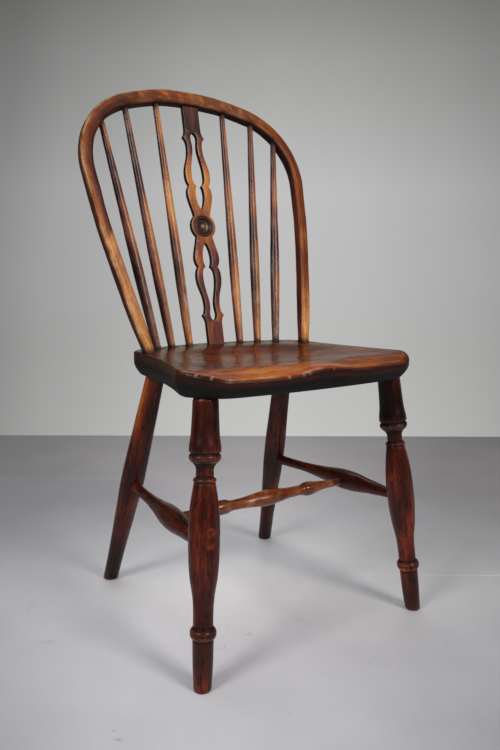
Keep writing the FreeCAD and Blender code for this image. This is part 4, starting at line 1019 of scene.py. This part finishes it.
def side_stretcher(side, material):
    name = sided("side", side)
    rear, front = side_line(side)
    length = np.linalg.norm(front - rear)
    middle = CROSS_SHARE * length
    thin, reach = 8.8, 90.0
    swell = [(middle + reach * place, mix(thin, SIDE_BELLY, share)) for place, share in
             ((-1, 0.1), (-0.55, 0.5), (-0.2, 0.93), (0, 1), (0.25, 0.9), (0.6, 0.42))]
    rows = profile([[(12, thin), (38.4, thin)], swell + [(length - 30.4, thin)], [(length - 14, thin)]])
    turned = Turning(rows, rear, front, 100 + (side > 0), uneven=0.18)
    meet = mix(rear, front, CROSS_SHARE) - np.array([side * 16.0, 0, 0])
    ends = np.maximum(bell(turned.t - 18, 6), bell(turned.t - (length - 20), 6))
    turned.grime_and_shade = np.maximum(ends * 0.85, 0.8 * turned.near(meet, 12))
    turned.tone += 0.05
    return turned.made("stretcher_stick_" + name, ["stretcher_" + name], "stretchers", material)


def cross_stretcher(material):
    """Two swellings with a thin middle between them, and thin ends."""
    meet = mix(*side_line(1), CROSS_SHARE)
    middle = np.array([0.0, meet[1], meet[2]])
    plain = meet[0] - SIDE_BELLY - 12.0
    half = [(0, 13.6), (23, 11.9), (43, 9.6), (57, 9.0), (70, 9.0), (74, 9.5), (78, 11.2), (84, 12.3),
            (88, 12.4), (94, 12.0), (104, 10.0), (118, 8.2), (plain, 6.8)]
    whole = [(-place, radius) for place, radius in half[:0:-1]] + half
    rows = profile([[(-plain - 20, 6.8), (-plain, 6.8)], whole[1:], [(plain + 20, 6.8)]])
    turned = Turning(rows, middle, meet, 104, uneven=0.22)
    t = turned.t
    turned.grime_and_shade = 0.8 * bell(np.abs(t) - (plain + 14), 6)
    turned.tone += 0.10 + 0.10 * ripple(105, 60, t) + 0.08 * bell(np.abs(t) - 88, 10)
    turned.wear_and_highlight = 0.25 * np.clip(ripple(106, 30, t, turned.angle * 12), 0, 1)
    return turned.made("stretcher_stick_cross", ["stretcher_cross"], "stretchers", material)


# Stage

FLOOR_BEHIND = 3500.0         # how far the floor reaches behind the camera and to either side
FLOOR_ASIDE = 6000.0
FLOOR_SEAMS = ((0.079, 0.45, 0.05), (0.682, -0.50, 0.10))     # in m: depth, where they show, where they fade
SEAM_HALF = 0.0012


def floor():
    """Pale studio floor with a painted pool of light in the middle and painted light falloff, faint seams
    and scuffs. Its far edge faces the camera.
    """
    mesh = bpy.data.meshes.new("floor")
    away = -CAMERA_BACK
    start = np.array([CAMERA_PLACE[0], CAMERA_PLACE[1], 0.0])
    far = start + away * WALL_DISTANCE
    near = start - away * FLOOR_BEHIND
    wide = CAMERA_RIGHT * FLOOR_ASIDE
    corners = [near - wide, near + wide, far + wide, far - wide]
    mesh.from_pydata([tuple(c * MM) for c in corners], [], [(0, 1, 2, 3)])
    material = bpy.data.materials.new("painted_floor")
    tree = empty_tree(material)
    place = add(tree, "TexCoord", {}).outputs["Object"]
    depth = along(tree, place, away)
    across = along(tree, place, CAMERA_RIGHT)
    # Painted light falloff: brightest about the chair, darker near the camera and darker still towards the
    # far edge
    colour = ramp(tree, spread(tree, depth, -0.45, far @ away * MM),
                  [(0.0, "#c8cad0"), (0.16, "#dddee4"), (0.27, "#e9eaee"), (0.38, "#d7d8dc"),
                   (0.48, "#cbccd0"), (0.62, "#b9b9bd"), (0.78, "#b2b2b5"), (1.0, "#a8a8aa")])
    cloud = spread(tree, noise(tree, place, 4.0, 5.0, Roughness=0.6), 0.3, 0.7, 1.04, 0.90)
    colour = blend(tree, 1.0, colour, cloud, "MULTIPLY")
    # A painted pool of light: the floor darkens to the sides, over a width that grows with distance
    width = spread(tree, depth, -0.5, 1.2, 0.48, 1.24)
    aside = maths(tree, "DIVIDE", maths(tree, "ADD", across, 0.02), width)
    aside = maths(tree, "ABSOLUTE", aside)
    painted_light_pool = spread(tree, aside, 0.0, 0.75, 1.0, 0.58, interpolation_type="SMOOTHSTEP")
    colour = blend(tree, 1.0, colour, painted_light_pool, "MULTIPLY")
    for seam_depth, clear, hidden in FLOOR_SEAMS:
        seam = maths(tree, "COMPARE", depth, seam_depth, SEAM_HALF)
        shown = maths(tree, "MULTIPLY", seam, spread(tree, across, hidden, clear, to_high=0.35))
        colour = blend(tree, shown, colour, "#f0f0f2")
    scuffed = spread(tree, noise(tree, place, 26.0, 3.0, Distortion=1.5), 0.70, 0.80, to_high=0.45)
    colour = blend(tree, scuffed, colour, "#7d7872")
    surface = add(tree, "BsdfPrincipled", {"Base Color": colour, "Roughness": 0.38, "IOR": 1.4})
    add(tree, "OutputMaterial", {"Surface": surface.outputs[0]})
    mesh.materials.append(material)
    new_object("floor", mesh)


def backdrop():
    """World: a plain soft light, and a grey studio wall that the camera sees and gloss mirrors, warmed."""
    world = bpy.data.worlds.new("studio")
    bpy.context.scene.world = world
    tree = empty_tree(world)
    way = add(tree, "TexCoord", {}).outputs["Generated"]
    rise = add(tree, "SeparateXYZ", {0: way}).outputs["Z"]
    upright = ramp(tree, spread(tree, rise, -0.3, 0.6),
                   [(0.0, "#c8c8c7"), (0.10, "#c3c3c2"), (0.22, "#bdbdbc"), (0.46, "#c1c1c1"),
                    (0.565, "#b1b1b0"), (0.645, "#a2a2a1"), (0.71, "#8e8e8c"), (0.88, "#6a6a69")])
    narrowed = spread(tree, rise, 0.0, 0.35, 0.92, 1.18)
    across = maths(tree, "MULTIPLY", along(tree, way, CAMERA_RIGHT), narrowed)
    level = ramp(tree, spread(tree, across, -0.5, 0.5),
                 [(0.0, 0.30), (0.166, 0.50), (0.23, 0.66), (0.42, 0.96), (0.54, 1.0), (0.646, 0.94),
                  (0.78, 0.77), (0.83, 0.68), (1.0, 0.45)])
    wall = blend(tree, 1.0, upright, level, "MULTIPLY")
    warmed = blend(tree, 1.0, wall, "#ffecdc", "MULTIPLY")
    ahead = spread(tree, along(tree, way, -CAMERA_BACK), -0.1, 0.35, 0.10, 1.0)
    seen, mirrored, plain = (
        add(tree, "Background", {"Color": colour, "Strength": strength}).outputs[0]
        for colour, strength in ((wall, 1.0), (warmed, ahead), ("#c9cbd2", 0.54)))
    path = add(tree, "LightPath", {}).outputs
    gloss = add(tree, "MixShader", {0: path["Is Glossy Ray"], 1: plain, 2: mirrored}).outputs[0]
    both = add(tree, "MixShader", {0: path["Is Camera Ray"], 1: gloss, 2: seen}).outputs[0]
    add(tree, "OutputWorld", {"Surface": both})


LAMP_AIM = (0.0, 0.0, 0.4)
LAMPS = (      # name, place, size, watts and colour
    ("left", (-2.8, -0.7, 2.2), (1.0, 1.1), 50.0, "#fffaf4"),
    ("front", (0.6, -3.0, 2.3), (1.0, 1.1), 66.0, "#fff8ee"),
    ("top", (0.3, 0.9, 2.7), (1.6, 1.6), 16.0, "#ffffff"),
)


def lamps():
    """Soft boxes that face the chair."""
    for name, place, size, power, colour in LAMPS:
        light = bpy.data.lights.new(name, "AREA")
        light.shape = "RECTANGLE"
        light.size, light.size_y = size
        light.energy = power
        light.color = hex_colour(colour)[:3]
        made = new_object(name, light)
        made.location = place
        made.rotation_mode = "QUATERNION"
        made.rotation_quaternion = (Vector(LAMP_AIM) - Vector(place)).to_track_quat("-Z", "Y")


def camera():
    data = bpy.data.cameras.new("camera")
    data.lens = CAMERA_LENS
    data.sensor_width = CAMERA_SENSOR
    made = new_object("camera", data)
    back = CAMERA_BACK * math.cos(CAMERA_DROP) + np.array([0.0, 0.0, math.sin(CAMERA_DROP)])
    right = CAMERA_RIGHT * math.cos(CAMERA_ROLL) + np.cross(back, CAMERA_RIGHT) * math.sin(CAMERA_ROLL)
    columns = [right, np.cross(back, right), back, np.array(CAMERA_PLACE) * MM]
    made.matrix_world = Matrix(np.vstack([np.column_stack(columns), (0.0, 0.0, 0.0, 1.0)]).tolist())
    bpy.context.scene.camera = made


def chair():
    seat_board(polished_elm())
    bent_hoop(bent_beech())
    sticks = spindle_beech()
    legs = leg_beech()
    for side in (-1, 1):
        for number in range(len(SPINDLES)):
            spindle(number, side, sticks)
        front_leg(side, legs)
        rear_leg(side, legs)
        side_stretcher(side, legs)
    cross_stretcher(stretcher_beech())
    pierced_splat(splat_beech())
    roundel(roundel_beech())
    oak = bare_oak()
    for name in ("hoop_wedge_right", "hoop_wedge_left"):
        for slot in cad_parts[name].material_slots:
            slot.material = oak


chair()
floor()
backdrop()
lamps()
camera()
bpy.context.scene.view_settings.view_transform = "Standard"
